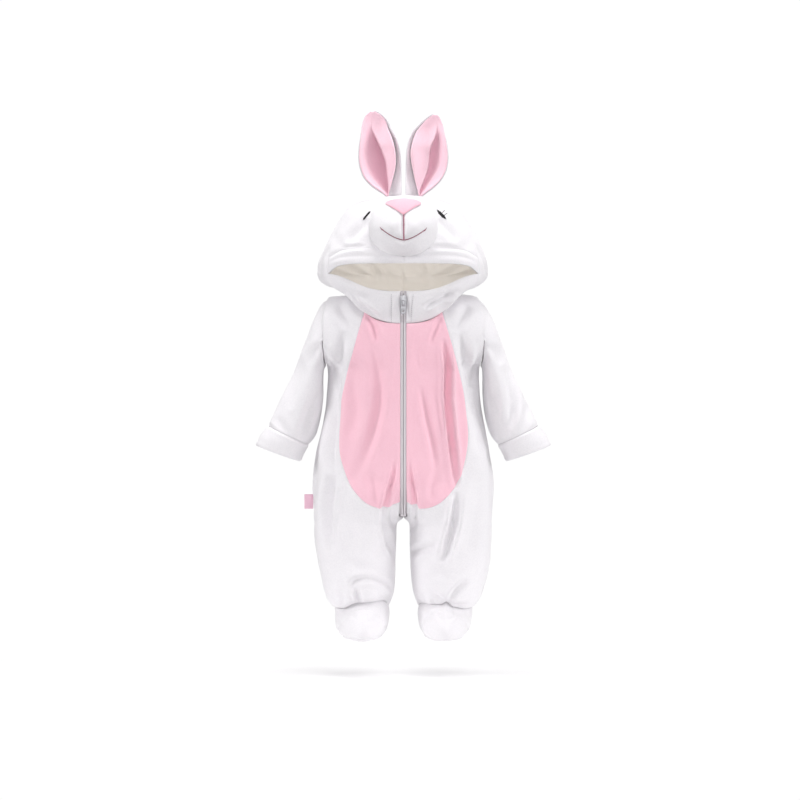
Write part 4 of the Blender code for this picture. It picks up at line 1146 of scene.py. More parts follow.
def coons(top: Array, bottom: Array, left: Array, right: Array, s: Array, t: Array) -> Array:
    """A grid inside four edges that share their corners.

    Args:
        top, bottom: Those edges, at the shares s.
        left, right: Those edges, at the shares t.
        s, t: Shares across and down.

    Returns:
        The grid, as (len(t), len(s), ...).
    """
    across, down = s[None, :, None], t[:, None, None]
    corners = (
        (1 - across) * (1 - down) * top[0]
        + across * (1 - down) * top[-1]
        + (1 - across) * down * bottom[0]
        + across * down * bottom[-1]
    )
    edges = (1 - down) * top[None] + down * bottom[None]
    sides = (1 - across) * left[:, None] + across * right[:, None]
    return edges + sides - corners


ANKLE_LINE = (
    (-106, -1), (-88, -1.5), (-78, 4), (-70, 7.5), (-55, 7.5), (-38, 9.5), (-24, 11), (24, 8), (36, 5),
    (58, 5.5), (64.5, 9.5), (74, 1.5), (90, -1.5), (106, -1),
)


def lift_ankles(points: Array) -> Array:
    """Points with the ankles' seams, which sit a little unevenly in front, brought to their line."""
    line = np.array(ANKLE_LINE)
    rise = np.interp(points[..., 0], line[:, 0], line[:, 1])
    near = np.exp(-(((points[..., 2] + 457.0) / 15.0) ** 2)) * smooth(-points[..., 1], -5.0, 30.0)
    lifted = points.copy()
    lifted[..., 2] += rise * near
    return lifted


FRONT_CUT = Cut(0.205, 0.56, 0.0526, groove=1.2, roll=3.4)
TUMMY_CUT = Cut(0.108, 0.293, 0.0230, groove=1.2, roll=3.4)
BACK_CUT = Cut(0.414, 0.555, 0.1600, groove=1.2, roll=3.4)


class Trunk:
    """The fronts, the rose tummy and the back."""

    def __init__(self, form: BodyForm) -> None:
        """Takes the body's form."""
        self.form = form

    def along(self, outline: Any, row: Array) -> Array:
        """Places along a drawn outline."""
        return self.form.places(read_table(outline, row))

    def upper_edge(self, row: Array) -> Array:
        """The places of the front's inner edge, from the shoulder to the tummy's lower corner."""
        side = self.form.places(TUMMY_SIDE)
        start = self.form.neck_side()
        share = (row / 3)[:, None]
        neck = start + (side[0] - start) * share
        return np.where((row <= 3)[:, None], neck, self.along(TUMMY_SIDE, np.maximum(row - 3, 0.0)))

    def legs(self, columns: Array, count: int) -> Array:
        """Places round half a leg, from the crotch down to the ankle."""
        levels = CROTCH + spread(LEG_LENGTH, start=False) * (ANKLE - CROTCH)
        share = columns / count
        last = self.form.last_angle(levels)
        return joined(share[None] * last[:, None], levels[:, None])

    def front(self) -> Cloth:
        """The white front of the left half.

        Returns:
            The cloth.
        """
        form = self.form
        outer, inner = spread(104.0) * 5, 5 + spread(96.0, start=False) * 5
        side = spread(292.0, start=False, end=False)
        rows = np.unique(np.concatenate((spread(60.0, end=False) * 3, 3 + side * 10)))
        level = np.interp(rows, np.arange(len(UPPER_LEVELS)), UPPER_LEVELS)
        edge = self.upper_edge(rows)
        start = joined(0.0, level)
        upper = start[:, None] + (edge - start)[:, None] * (outer / 5)[None, :, None]
        both = np.concatenate((outer, inner[1:]))
        corner = upper[-1]
        under = form.places(TUMMY_BOTTOM)
        top = np.concatenate((corner, self.along(TUMMY_BOTTOM, inner[1:] - 5)))
        last = form.last_angle(CROTCH)
        bottom = joined(both / 10 * last, CROTCH)
        down = spread(66.0, end=False)
        side = joined(0.0, np.interp(down * 4, range(5), (14.0, 15.0, 16.0, 17.0, CROTCH)))
        foot = np.concatenate((under[-1:], form.places(ZIP_FOOT), [[last, CROTCH]]))
        low = coons(top, bottom, side, read_table(foot, down * 4), both / 10, down)
        cloth = Cloth().add(form.patch(upper, -1)).add(form.patch(low, -1))
        return cloth.add(form.patch(self.legs(both, 10), -1))

    def tummy(self) -> Cloth:
        """The rose half tummy.

        Returns:
            The cloth.
        """
        form = self.form
        s, t = spread(92.0), spread(293.0)
        top, bottom, side = (
            self.along(outline, row)
            for outline, row in ((TUMMY_TOP, s * 5), (TUMMY_BOTTOM, s * 5), (TUMMY_SIDE, t * 10))
        )
        heights = TUMMY_TOP[-1][1] + (TUMMY_BOTTOM[-1][1] - TUMMY_TOP[-1][1]) * t
        middle = form.places(joined(-ZIP_HALF, heights))
        middle[0], middle[-1] = top[-1], bottom[-1]
        return Cloth().add(form.patch(coons(top, bottom, side, middle, s, t), -1))

    def back(self) -> Cloth:
        """The back with the backs of both legs, in one piece.

        Returns:
            The cloth.
        """
        form = self.form
        shoulder, nape_half = spread(130.0, end=False), spread(78.0, start=False, end=False)
        columns = np.unique(np.concatenate((shoulder * 5, 5 + nape_half * 3)))
        side = form.neck_side()
        corner, nape = np.array((0.0, SHOULDER)), np.array((np.pi / 2, NECK_BACK_LEVEL))
        shoulder = corner + (side - corner) * (columns[:, None] / 5)
        neck = side + (nape - side) * ((columns[:, None] - 5) / 3)
        top = np.where((columns <= 5)[:, None], shoulder, neck)
        bottom = joined(columns / 8 * np.pi / 2, YOKE_END)
        down = spread(60.0, end=False)
        left = joined(0.0, down * YOKE_END)
        fall = NECK_BACK_LEVEL + (YOKE_END - NECK_BACK_LEVEL) * down
        right = joined(np.pi / 2, fall)
        yoke = coons(top, bottom, left, right, columns / 8, down)
        levels = YOKE_END + spread(290.0, start=False, end=False) * (CROTCH - YOKE_END)
        last = form.last_angle(levels)
        angles = (columns / 8)[None] * last[:, None]
        trunk = joined(angles, levels[:, None])
        cloth = Cloth()
        for places in (yoke, trunk, self.legs(columns, 8)):
            grid = centred(form.patch(places, 1))
            cloth.add(grid, turned=True)
            cloth.add(mirror(grid))
        return cloth

    def held(self) -> Array:
        """Points of the neckline, the armholes and the ankles, where other pieces hold the trunk.

        Returns:
            The points.
        """
        form = self.form
        across = np.linspace(0, 1, 40)
        ankle = joined(across * form.last_angle(ANKLE), ANKLE)
        arm = joined(0.0, across * ARMPIT)
        half = [form.neckline(np.linspace(0, 11, 90))]
        half += [form.patch(places, facing) for places in (ankle, arm) for facing in (-1, 1)]
        left = np.concatenate(half)
        return np.concatenate((left, mirror(left)))

    def build(self, finishes: Finishes) -> None:
        """Builds the trunk's five pieces.

        Args:
            finishes: The suit's finishes.
        """
        held = lift_ankles(self.held())
        relief = Relief(SUIT_CREASES, fade=5.0, calm_half=5.0, held=held)
        for node, cloth, look, cut in (
            ("front", self.front(), finishes.white, FRONT_CUT),
            ("tummy", self.tummy(), finishes.rose, TUMMY_CUT),
        ):
            for side in SIDES:
                sew(f"{node}_{side}", cloth.on(side).warped(lift_ankles), look, cut, relief)
        relief = Relief(SUIT_CREASES, fade=5.0, held=held)
        sew("back", self.back().warped(lift_ankles), finishes.white, BACK_CUT, relief)


# ---- sleeves and cuffs


class SleeveRing(NamedTuple):
    """A ring of the sleeve, between its outer and inner edges as seen from the front."""

    outer_x: float
    outer_z: float
    inner_x: float
    inner_z: float
    half_depth: float
    middle_y: float


SLEEVE = rows_of(
    SleeveRing,
    (-125, -5, -119.5, -100, 43, 0), (-137.5, -28, -120.8, -117, 42.2, -0.7),
    (-150, -64, -121.3, -140, 40, -2), (-164.5, -100, -123.2, -161, 38, -3.7),
    (-180, -134, -127.5, -182, 36.5, -5.5), (-193.5, -162, -133, -198, 35, -7),
    (-203, -182, -142.5, -211, 34, -8),
)
CUFF = rows_of(
    SleeveRing,
    (-203.6, -182.5, -142.7, -211.6, 34.8, -8), (-215.5, -196.5, -149, -224, 34.6, -8.8),
    (-223, -211.5, -155, -236.5, 32, -9.6),
)
SLEEVE_CUT = Cut(0.293, 0.211, 0.0342, groove=0.7, roll=3.5)
CUFF_CUT = Cut(0.221, 0.040, 0.0066, groove=0.7, roll=3.0, hem=0.5)
SLEEVE_ROUND = 104


class Sleeves:
    """Both sleeves with their cuffs."""

    def __init__(self, form: BodyForm) -> None:
        """Takes the body's form, which the armhole follows."""
        self.form = form

    def armhole(self, turn: Array) -> Array:
        """Points round the armhole, lifted off the body, turn 0 at the shoulder.

        Args:
            turn: Places round it.

        Returns:
            The points.
        """
        share = turn / np.pi
        level = ARMPIT * np.where(share <= 1, share, 2 - share)
        sides = []
        for facing in (-1, 1):
            angle = np.zeros_like(level)
            at = self.form.point(angle, level, facing)
            sides.append(at + LIFT * self.form.outward(angle, level, facing))
        return np.where((share <= 1)[:, None], *sides)

    def rings(self, table: tuple[SleeveRing, ...], turn: Array) -> Array:
        """Points round each ring of a table.

        Args:
            table: The rings' sizes.
            turn: Places round it.

        Returns:
            The points, ring by ring.
        """
        rows = np.array(table)[:, None, :]
        outer = rows[..., (0, 5, 1)]
        inner = rows[..., (2, 5, 3)]
        middle, forward = (outer + inner) / 2, np.zeros_like(outer)
        forward[..., 1] = -rows[..., 4]
        turn = turn[None, :, None]
        return middle + (outer - middle) * np.cos(turn) + forward * np.sin(turn)

    def build(self, finishes: Finishes) -> None:
        """Builds the sleeves and cuffs.

        Args:
            finishes: The suit's finishes.
        """
        turn = whole_turn(SLEEVE_ROUND)
        tube = np.concatenate((self.armhole(turn)[None], self.rings(SLEEVE, turn)))
        sleeve = Cloth().add(read_table(tube, spread(210.0) * (len(tube) - 1)), wrap=True)
        band = self.rings(CUFF, turn)
        cuff = Cloth().add(read_table(band, spread(36.0, 2.0) * (len(band) - 1)), wrap=True)
        for side in SIDES:
            relief = Relief(SLEEVE_CREASES, fade=7.0)
            sew(f"sleeve_{side}", sleeve.on(side), finishes.white, SLEEVE_CUT, relief)
            relief = Relief((), Undulation(0.5), fade=5.0)
            sew(f"cuff_{side}", cuff.on(side), finishes.white, CUFF_CUT, relief)


# ---- feet


class FootRing(NamedTuple):
    """A level ring of the foot."""

    z: float
    middle_x: float
    half_width: float
    toe: float
    heel: float


FOOT = rows_of(
    FootRing,
    (-452.5, -63.5, 38.4, 38.6, 37.6), (-457, -63.5, 40.8, 42, 40.3), (-463, -62.8, 41.4, 53, 43),
    (-471, -62.5, 41, 66, 44.5), (-480, -62.5, 39.8, 75.4, 45), (-488, -62.4, 37.6, 78, 44),
    (-495, -62.2, 34.4, 76.2, 42), (-500, -62, 30.8, 71.2, 38.2),
)
LAST_FOOT_RING = 7.0
TOE_SEAM = (2, 2.3, 3.3, 5, LAST_FOOT_RING)
TOE_HALF = len(TOE_SEAM) - 1
SOLE_DROP = 4.0
FOOT_CUT = Cut(0.290, 0.046, 0.0101, groove=0.6, roll=3.0)
TOE_CUT = Cut(0.187, 0.050, 0.0044, groove=0.6, roll=3.0)
SOLE_CUT = Cut(0.068, 0.113, 0.0058, groove=0.6, roll=3.0)
FOOT_CREASES = folds(
    View.FRONT,
    (2.6, 4.3, 0.35, -84, -462, -66, -468, -46, -463),
    (1.9, 4.8, 0.35, -58, -470, -40, -478, -32, -486),
    (2.6, 4.3, 0.35, 48, -462, 62, -469, 80, -464),
    (1.9, 4.8, 0.35, 78, -472, 88, -480, 92, -490),
)


class Feet:
    """Both feet: upper, toe cap and sole."""

    def point(self, turn: Array, level: Array) -> Array:
        """Points of the left foot, turn 0 at the heel and going round by the outer side."""
        z, middle, half, toe, heel = np.moveaxis(read_table(FOOT, level), -1, 0)
        reach = np.where(np.cos(turn) > 0, heel, toe)
        return joined(middle - half * np.sin(turn), reach * np.cos(turn), z)

    def seam(self, turn: Array) -> Array:
        """The ring that the toe cap's seam reaches at a turn."""
        from_toe = np.abs(turn / (2 * np.pi) * 16 - 8)
        both = np.array(TOE_SEAM[::-1] + TOE_SEAM[1:])[:, None]
        inside = read_table(both, np.clip(from_toe, 0, TOE_HALF) + TOE_HALF)[..., 0]
        return np.where(from_toe < TOE_HALF, inside, LAST_FOOT_RING)

    def grid(self, turn: Array, start: Any, end: Any) -> Array:
        """A grid between a start and an end ring for each turn."""
        level = start + (end - start) * spread(40.0, 2.5)[:, None]
        return self.point(*np.broadcast_arrays(turn, level))

    def upper(self) -> Cloth:
        """The upper, round the heel and over the instep."""
        turn = whole_turn()
        return Cloth().add(self.grid(turn, 0.0, self.seam(turn)), wrap=True)

    def toe(self) -> Cloth:
        """The toe cap."""
        edge = TOE_HALF / 8 * np.pi
        turn = np.pi + (spread(2 * edge * 60.0, 2.4) * 2 - 1) * edge
        return Cloth().add(self.grid(turn, self.seam(turn), LAST_FOOT_RING))

    def sole(self) -> Cloth:
        """The sole, a shallow dish under the lowest ring.

        Returns:
            The cloth.
        """
        turn = whole_turn()
        ring = self.point(turn, np.full_like(turn, LAST_FOOT_RING))
        middle = ring.mean(axis=0)
        share = 1 - spread(33.0, 2.6, end=False)
        drop = LIFT + 0.2 * FLEECE + (SOLE_DROP + 0.8 * FLEECE) * (1 - share**3)
        grid = middle + (ring - middle)[None] * share[:, None, None]
        grid[..., 2] = middle[2] - drop[:, None]
        return Cloth().add(grid, wrap=True)

    def build(self, finishes: Finishes) -> None:
        """Builds the six pieces.

        Args:
            finishes: The suit's finishes.
        """
        relief = Relief(FOOT_CREASES, Undulation(0.6), fade=5.0)
        for node, cloth, cut in (
            ("foot", self.upper(), FOOT_CUT),
            ("toe_cap", self.toe(), TOE_CUT),
            ("sole", self.sole(), SOLE_CUT),
        ):
            for side in SIDES:
                sew(f"{node}_{side}", cloth.on(side).warped(lift_ankles), finishes.white, cut, relief)


# ---- hood


class HoodRing(NamedTuple):
    """A level ring of the hood, crown to face opening."""

    z: float
    half_width: float
    front_y: float
    back_y: float


HOOD = rows_of(
    HoodRing,
    (163.5, 0, -8, -8), (160.5, 37, -43, 27), (152.5, 69, -59, 50), (140, 86.5, -71, 67),
    (120, 99.5, -82, 81), (98, 112, -89.5, 90), (78, 121, -94.5, 95), (63, 126, -97, 96),
    (47, 127, -97, 94),
)
RIM_RING = 8.0
FACE_TURNS = (0, 13, 26, 39, 52, 64)
FACE_EDGE_Z = (63, 63, 62.7, 61.8, 58, 47)
SIDE_TURNS = (84, 103, 122, 141, 160, 180)
BRIM_SHARE = 0.8
CORNER = 5.0


class CollarColumn(NamedTuple):
    """A line down the hood's lower part: its rim point, and how it leaves the rim and the neckline."""

    neck_place: float
    rim_x: float
    rim_y: float
    rim_z: float
    rim_forward: float
    rim_drop: float
    neck_out_x: float
    neck_out_y: float
    neck_rise: float


COLLAR = rows_of(
    CollarColumn,
    (0, -4.8, -66, 21, -1, -15, 0, -2, 16), (1, -20, -67, 21.2, -1.5, -15, -3, -4, 14),
    (2, -36, -68, 22.6, -2, -15, -7, -6, 11), (3, -52, -68, 26, -3, -15, -10, -9, 8),
    (4, -68, -65.5, 31.8, -3, -16, -13, -11, 5.5), (5, -84, -60, 39, -3, -18, -17, -12, 4),
    (6, -99.5, -52.5, 44.5, -3, -21, -23, -11, 2.5), (7, 0, 0, 0, -2, -23, -28, -8, 1.5),
    (8, 0, 0, 0, 0, -24, -31, 0, 1.5), (8.5, 0, 0, 0, 1, -23, -28, 9, 2),
    (9, 0, 0, 0, 2, -22, -22, 18, 2.5), (9.5, 0, 0, 0, 2, -22, -15, 23, 3),
    (10, 0, 0, 0, 2, -22, -9, 27, 3.5), (11, 0, 0, 0, 2, -22, 0, 29, 4),
)
SIDE_COLUMN = 7.0
LINING_START = 0.9
HOOD_CUT = Cut(0.353, 0.290, 0.0550, groove=0.8, roll=4.0)
BRIM_CUT = Cut(0.134, 0.026, 0.0031, groove=0.6, roll=5.0, hem=1.2)
LINING_CUT = Cut(0.348, 0.285, 0.0540, groove=0.4, roll=5.0, thickness=LINING)


class HoodForm:
    """The hood's outer form."""

    table = np.array(HOOD)

    def __init__(self, body: BodyForm) -> None:
        """Takes the body's form, which the neckline follows."""
        self.body = body

    def point(self, turn: Array, level: Array) -> Array:
        """Points of the left half, turn 0 in front and 180 behind."""
        z, half, front, back = np.moveaxis(read_table(self.table, level), -1, 0)
        middle, reach = (front + back) / 2, (back - front) / 2
        by = np.radians(turn)
        return joined(-half * np.sin(by), middle - reach * np.cos(by), z)

    def level_at(self, z: Array) -> Array:
        """The level at which the rings reach each height."""
        z = np.asarray(z, float)
        last = np.full(z.shape, RIM_RING)
        return halve(lambda s: read_table(self.table, s)[..., 0] < z, np.zeros(z.shape), last)

    def front_at(self, x: Array, z: Array) -> Array:
        """The front's points at spots as seen from the front."""
        level = self.level_at(z)
        half = np.maximum(read_table(self.table, level)[..., 1], 1.0)
        turn = np.degrees(np.arcsin(np.clip(np.abs(x) / half, -1, 1)))
        point = self.point(turn, level)
        point[..., 0] = x
        return point

    def turn_at(self, column: Array) -> Array:
        """The turn of a column of the crown."""
        return read_table(np.array(FACE_TURNS + SIDE_TURNS)[:, None], column)[..., 0]

    def crown(self, column: Array, share: Array) -> Array:
        """The grid of the crown at its columns and at shares of the way down."""
        ends = self.level_at(np.array(FACE_EDGE_Z))[:, None]
        face = read_table(ends, np.minimum(column, CORNER))[..., 0]
        end = np.where(column >= CORNER, RIM_RING, np.minimum(face, RIM_RING))
        level = share[:, None] * end[None]
        return centred(self.point(np.broadcast_to(self.turn_at(column), level.shape), level))

    def collar(self, column: Array, share: Array) -> Array:
        """The grid of the lower part at its columns and at shares of the way down.

        Args:
            column: The columns.
            share: The shares.

        Returns:
            The grid.
        """
        table = np.array(COLLAR)
        corner = self.point(np.array(FACE_TURNS[-1]), np.array(RIM_RING))
        rims = np.concatenate((table[: int(SIDE_COLUMN), 1:4], corner[None]))
        wide = self.point(self.turn_at(column - SIDE_COLUMN + CORNER), np.full_like(column, RIM_RING))
        rim = centred(np.where((column < SIDE_COLUMN)[:, None], read_table(rims, column), wide))
        lines = read_table(table, column)
        drop = joined(0.0, lines[:, 4], lines[:, 5])
        rise = lines[:, 6:9]
        rise[:, 0] *= smooth(-column, -13.0, -12.0)
        neck = self.body.neckline(np.interp(column, np.arange(len(table)), table[:, 0]))
        t = share[:, None, None]
        near_rim = (1 - t) ** 3 * rim + 3 * t * (1 - t) ** 2 * (rim + drop)
        return near_rim + 3 * t**2 * (1 - t) * (neck + rise) + t**3 * neck


class Hood:
    """The hood's halves, its brim and its lining."""

    def __init__(self, form: HoodForm) -> None:
        """Takes the hood's form.

        Args:
            form: The hood's form.
        """
        self.form = form
        self.face = np.unique(spread(134.0, 2.8) * CORNER)
        self.side = CORNER + np.unique(spread(219.0, 3.0, start=False)) * (11.0 - CORNER)
        self.across = np.concatenate((self.face, self.side[1:]))
        self.behind = self.side[1:] - CORNER + SIDE_COLUMN
        self.above = spread(150.0, 2.8, start=False) * BRIM_SHARE
        self.beside = BRIM_SHARE + spread(34.0, 2.4) * (1 - BRIM_SHARE)
        self.down = spread(86.0, 2.8)
        self.low = spread(130.0, 2.8) * SIDE_COLUMN

    def outer(self) -> Cloth:
        """The left half of the hood."""
        cloth = Cloth().add(self.form.crown(self.across, self.above), turned=True)
        cloth.add(self.form.crown(self.side, self.beside), turned=True)
        low = np.concatenate((self.low, self.behind))
        return cloth.add(self.form.collar(low, self.down), turned=True)

    def brim(self) -> Cloth:
        """The left half of the brim."""
        return Cloth().add(self.form.crown(self.face, self.beside), turned=True)

    def lining(self) -> Cloth:
        """The left half of the lining, on the hood's own form."""
        rows = np.concatenate((self.above, self.beside[1:]))
        cloth = Cloth().add(self.form.crown(self.across, rows), turned=True)
        low = np.concatenate((self.low[self.low >= LINING_START], self.behind))
        return cloth.add(self.form.collar(low, self.down), turned=True)

    def build(self, finishes: Finishes) -> None:
        """Builds the six pieces.

        Args:
            finishes: The suit's finishes.
        """
        plain, lined = (Relief(creases, fade=6.0) for creases in (HOOD_CREASES, LINING_CREASES))
        pieces = (
            ("hood", self.outer(), finishes.white, HOOD_CUT, plain),
            ("brim", self.brim(), finishes.white, BRIM_CUT, plain),
            ("hood_lining", self.lining().inset(FLEECE + SEAM_GAP), finishes.lining, LINING_CUT, lined),
        )
        for side in SIDES:
            for node, cloth, look, cut, relief in pieces:
                sew(f"{node}_{side}", cloth.on(side), look, cut, relief)


# ---- face


MUZZLE_MIDDLE = (0, 113)
MUZZLE_OUTLINE = (
    (0, 156.5), (-19, 155), (-36, 148), (-47, 135), (-51, 119), (-49.5, 103), (-43, 90.5), (-31, 80.5),
    (-16, 74.5), (0, 73),
)
MUZZLE_HEIGHT = 31.0
MUZZLE_RIM = 2.5
MUZZLE_WAY = np.array((0, -0.96, 0.28))
NOSE_MIDDLE = (0, 141)
NOSE_HALF = (
    (0, 151.5), (13, 150.2), (22, 147.8), (25.6, 145), (24.2, 141.8), (17.5, 137.2), (9, 131), (3, 126.8),
    (0, 125.4),
)
NOSE_THICKNESS = 1.6
NOSE_LIFT = 1.3
NOSE_CUT = Cut(0.057, 0.040, 0.00118, groove=1.1, roll=2.6, thickness=NOSE_THICKNESS)
MUZZLE_BACK = 0.4


def whole_loop(half: Path) -> Array:
    """The spots round a closed outline, from those of its left half."""
    spots = np.array(half)
    return np.concatenate((spots, spots[-2:0:-1] * np.array((-1.0, 1.0))))


def read_loop(ring: Array, place: Array) -> Array:
    """Spots along a closed outline, on a smooth curve."""
    return read_table(np.concatenate((ring[-3:], ring, ring[:3])), 3 + np.mod(place, len(ring)))


class Muzzle:
    """The stuffed muzzle and the nose patch."""

    def __init__(self, form: HoodForm) -> None:
        """Takes the hood's form, which the muzzle sits on."""
        self.form = form
        self.ring = whole_loop(MUZZLE_OUTLINE)

    def share_of(self, spots: Array) -> Array:
        """How far out towards the outline each spot lies, from 0 to 1."""
        middle = np.array(MUZZLE_MIDDLE)
        x, z = np.moveaxis(spots - middle, -1, 0)
        fine_x, fine_z = (read_loop(self.ring, np.linspace(0, len(self.ring) / 2, 200)) - middle).T
        turns, sizes = np.arctan2(np.abs(fine_x), fine_z), np.hypot(fine_x, fine_z)
        reach = np.interp(np.arctan2(np.abs(x), z), turns, sizes)
        return np.minimum(1.0, np.hypot(x, z) / reach)

    def height(self, spots: Array, share: Array) -> Array:
        """How far the muzzle stands out: two lips, the mouth's groove, a cleft and a lower chin.

        Args:
            spots: Spots as (across, up).
            share: Each spot's share of the way out.

        Returns:
            The heights.
        """
        x, z = spots[..., 0], spots[..., 1]
        dome = (1 - share**2.6) ** 0.5
        lips = 5.4 * np.exp(-(((np.abs(x) - 19) / 14) ** 2) - ((z - 108) / 16) ** 2)
        cleft = -5.0 * np.exp(-((x / 3.6) ** 2) - ((z - 108) / 17) ** 2)
        mouth_z = 89 + 14 * np.minimum(np.abs(x) / 33, 1.0) ** 1.5
        mouth = -4.2 * np.exp(-(((z - mouth_z) / 3.6) ** 2) - (x / 31) ** 4)
        chin = -6.5 / (1 + np.exp((z - mouth_z + 3) / 4.5))
        return MUZZLE_RIM + dome * (MUZZLE_HEIGHT + lips + cleft + mouth + chin)

    def front(self, spots: Array) -> Array:
        """The muzzle's front at each spot."""
        share = self.share_of(spots)
        at = self.form.front_at(spots[..., 0], spots[..., 1])
        return at + MUZZLE_WAY * self.height(spots, share)[..., None]

    def solid(self) -> Mesh:
        """The muzzle as a closed solid whose back follows the hood.

        Returns:
            The corners and the faces.
        """
        columns, rings = 132, 38
        middle = np.array(MUZZLE_MIDDLE)
        edge = read_loop(self.ring, np.linspace(0, len(self.ring), columns + 1)[:-1]) - middle
        share = np.sin(np.linspace(0, 1, rings + 1)[1:] * np.pi / 2)
        spots = middle + share[:, None, None] * edge[None]
        at = self.form.front_at(spots[..., 0], spots[..., 1])
        out = self.height(spots, np.broadcast_to(share[:, None], spots.shape[:2]))
        out[-1] = MUZZLE_RIM / 2
        front = (at + MUZZLE_WAY * out[..., None]).reshape(-1, 3)
        back = (at + MUZZLE_WAY * MUZZLE_BACK)[-2::-1].reshape(-1, 3)
        soft = Undulation(0.45, 14.0, 40.0, seed=3).rise(front)
        soft[-columns:] = 0.0
        front = front + MUZZLE_WAY * soft[:, None]
        pole = self.form.front_at(middle[:1], middle[1:])
        ends = [pole + MUZZLE_WAY * self.height(middle[None], np.zeros(1)), pole + MUZZLE_WAY * MUZZLE_BACK]
        points = np.concatenate((front, back, *ends))
        total = len(points) // columns
        number = np.arange(total * columns).reshape(total, columns)
        beside = np.roll(number, -1, axis=1)
        sides = np.stack((number[:-1], beside[:-1], beside[1:], number[1:]), axis=-1).reshape(-1, 4)
        first, last = total * columns, total * columns + 1
        caps = [[first, b, a] for a, b in zip(number[0].tolist(), beside[0].tolist())]
        caps += [[last, a, b] for a, b in zip(number[-1].tolist(), beside[-1].tolist())]
        return points, [face[::-1] for face in sides.tolist() + caps]

    def nose(self) -> Cloth:
        """The rose nose patch.

        Returns:
            The cloth.
        """
        ring, middle = whole_loop(NOSE_HALF), np.array(NOSE_MIDDLE)
        edge = read_loop(ring, np.linspace(0, len(ring), ROUND_COUNT + 1)[:-1])
        share = spread(26.0, 1.5, start=False)[1:]
        spots = middle + (edge - middle)[None] * share[:, None, None]
        centre = np.broadcast_to(middle, (1, len(edge), 2))
        grid = self.front(np.concatenate((centre, spots)))
        return Cloth().add(grid, turned=True, wrap=True).inset(-(NOSE_LIFT + NOSE_THICKNESS))

    def build(self, finishes: Finishes) -> tuple[Piece, Piece]:
        """Builds the muzzle and the nose."""
        muzzle = put("muzzle_plush", *self.solid(), finishes.white.material)
        dress(muzzle, finishes.white, ("muzzle",))
        relief = Relief((), Undulation(0.2), fade=3.0)
        # The nose patch wears rose fleece painted darker, as painted shade.
        return muzzle, sew("nose", self.nose(), finishes.nose, NOSE_CUT, relief, "nose_patch")


# ---- ears


class EarRow(NamedTuple):
    """A row of the ear: its edges and its hollow's as seen from the front, and how deep it is cupped."""

    z: float
    outer_x: float
    rose_x: float
    white_x: float
    hollow_outer_x: float
    hollow_inner_x: float
    edge_y: float
    cup: float


EAR_LEFT = rows_of(
    EarRow,
    (289, -48.5, -43.5, -43.5, -46.5, -46, -8, 0.5), (283.5, -55.5, -34, -33, -48.5, -47, -8.5, 2.5),
    (275, -59.3, -27, -25.5, -51, -48, -10.5, 6), (263, -62.3, -22, -19.5, -55, -47, -13.5, 10),
    (251, -64.2, -16.5, -14, -56.5, -41.5, -16, 14), (239, -66, -13, -10, -57.5, -36, -17.5, 16),
    (227, -66.8, -11, -7.5, -57.8, -31, -18.5, 17.5), (215, -66.6, -10.5, -6.6, -56.5, -26.8, -19, 18),
    (203, -64, -11.5, -6, -52.5, -25.2, -18.5, 17.5), (191, -59, -14.5, -5.6, -45, -24, -17.5, 16),
    (179, -47.5, -17.5, -5.4, -34.5, -23, -15.5, 12.5), (169.5, -33, -20.5, -5.2, -27.5, -22.6, -12.5, 8),
    (163.9, -25.5, -21.5, -6.2, -24, -22.8, -11, 5),
)
EAR_RIGHT = rows_of(
    EarRow,
    (284.6, -50.5, -45.5, -45, -49, -48.5, -8, 0.5), (278, -55, -36.5, -35, -51.5, -50, -8.5, 2.5),
    (270, -58.2, -28, -26, -53.5, -51, -10.5, 6), (260, -61, -19.5, -17, -55.5, -50.5, -13.5, 10),
    (250.5, -63.5, -15.2, -12.5, -56.5, -48, -15.5, 13.5), (239, -65.8, -12, -9, -56.8, -43, -17, 15.5),
    (227, -67, -10.5, -7.5, -56, -40, -18, 17), (215, -67, -11.5, -7, -54, -39.5, -18.5, 17.5),
    (203, -64.8, -13.5, -6.6, -49.5, -37.5, -18, 17), (191, -59, -15.8, -6.4, -42, -33, -17, 15.5),
    (179, -48.5, -18.8, -6.2, -34, -28, -15, 12), (169.5, -36, -21.5, -6.2, -28, -25, -12.5, 8),
    (163.9, -28, -23, -7, -25.8, -24.6, -11, 5),
)
EAR_FRONT_CUT = Cut(0.067, 0.143, 0.0063, groove=0.5, roll=2.6, thickness=EAR_CLOTH)
EAR_BACK_CUT = Cut(0.074, 0.143, 0.0072, groove=0.5, roll=2.6, thickness=EAR_CLOTH)
EAR_FLAP = 9.0
EAR_TUCK = 2.2
EAR_COLUMNS = 56


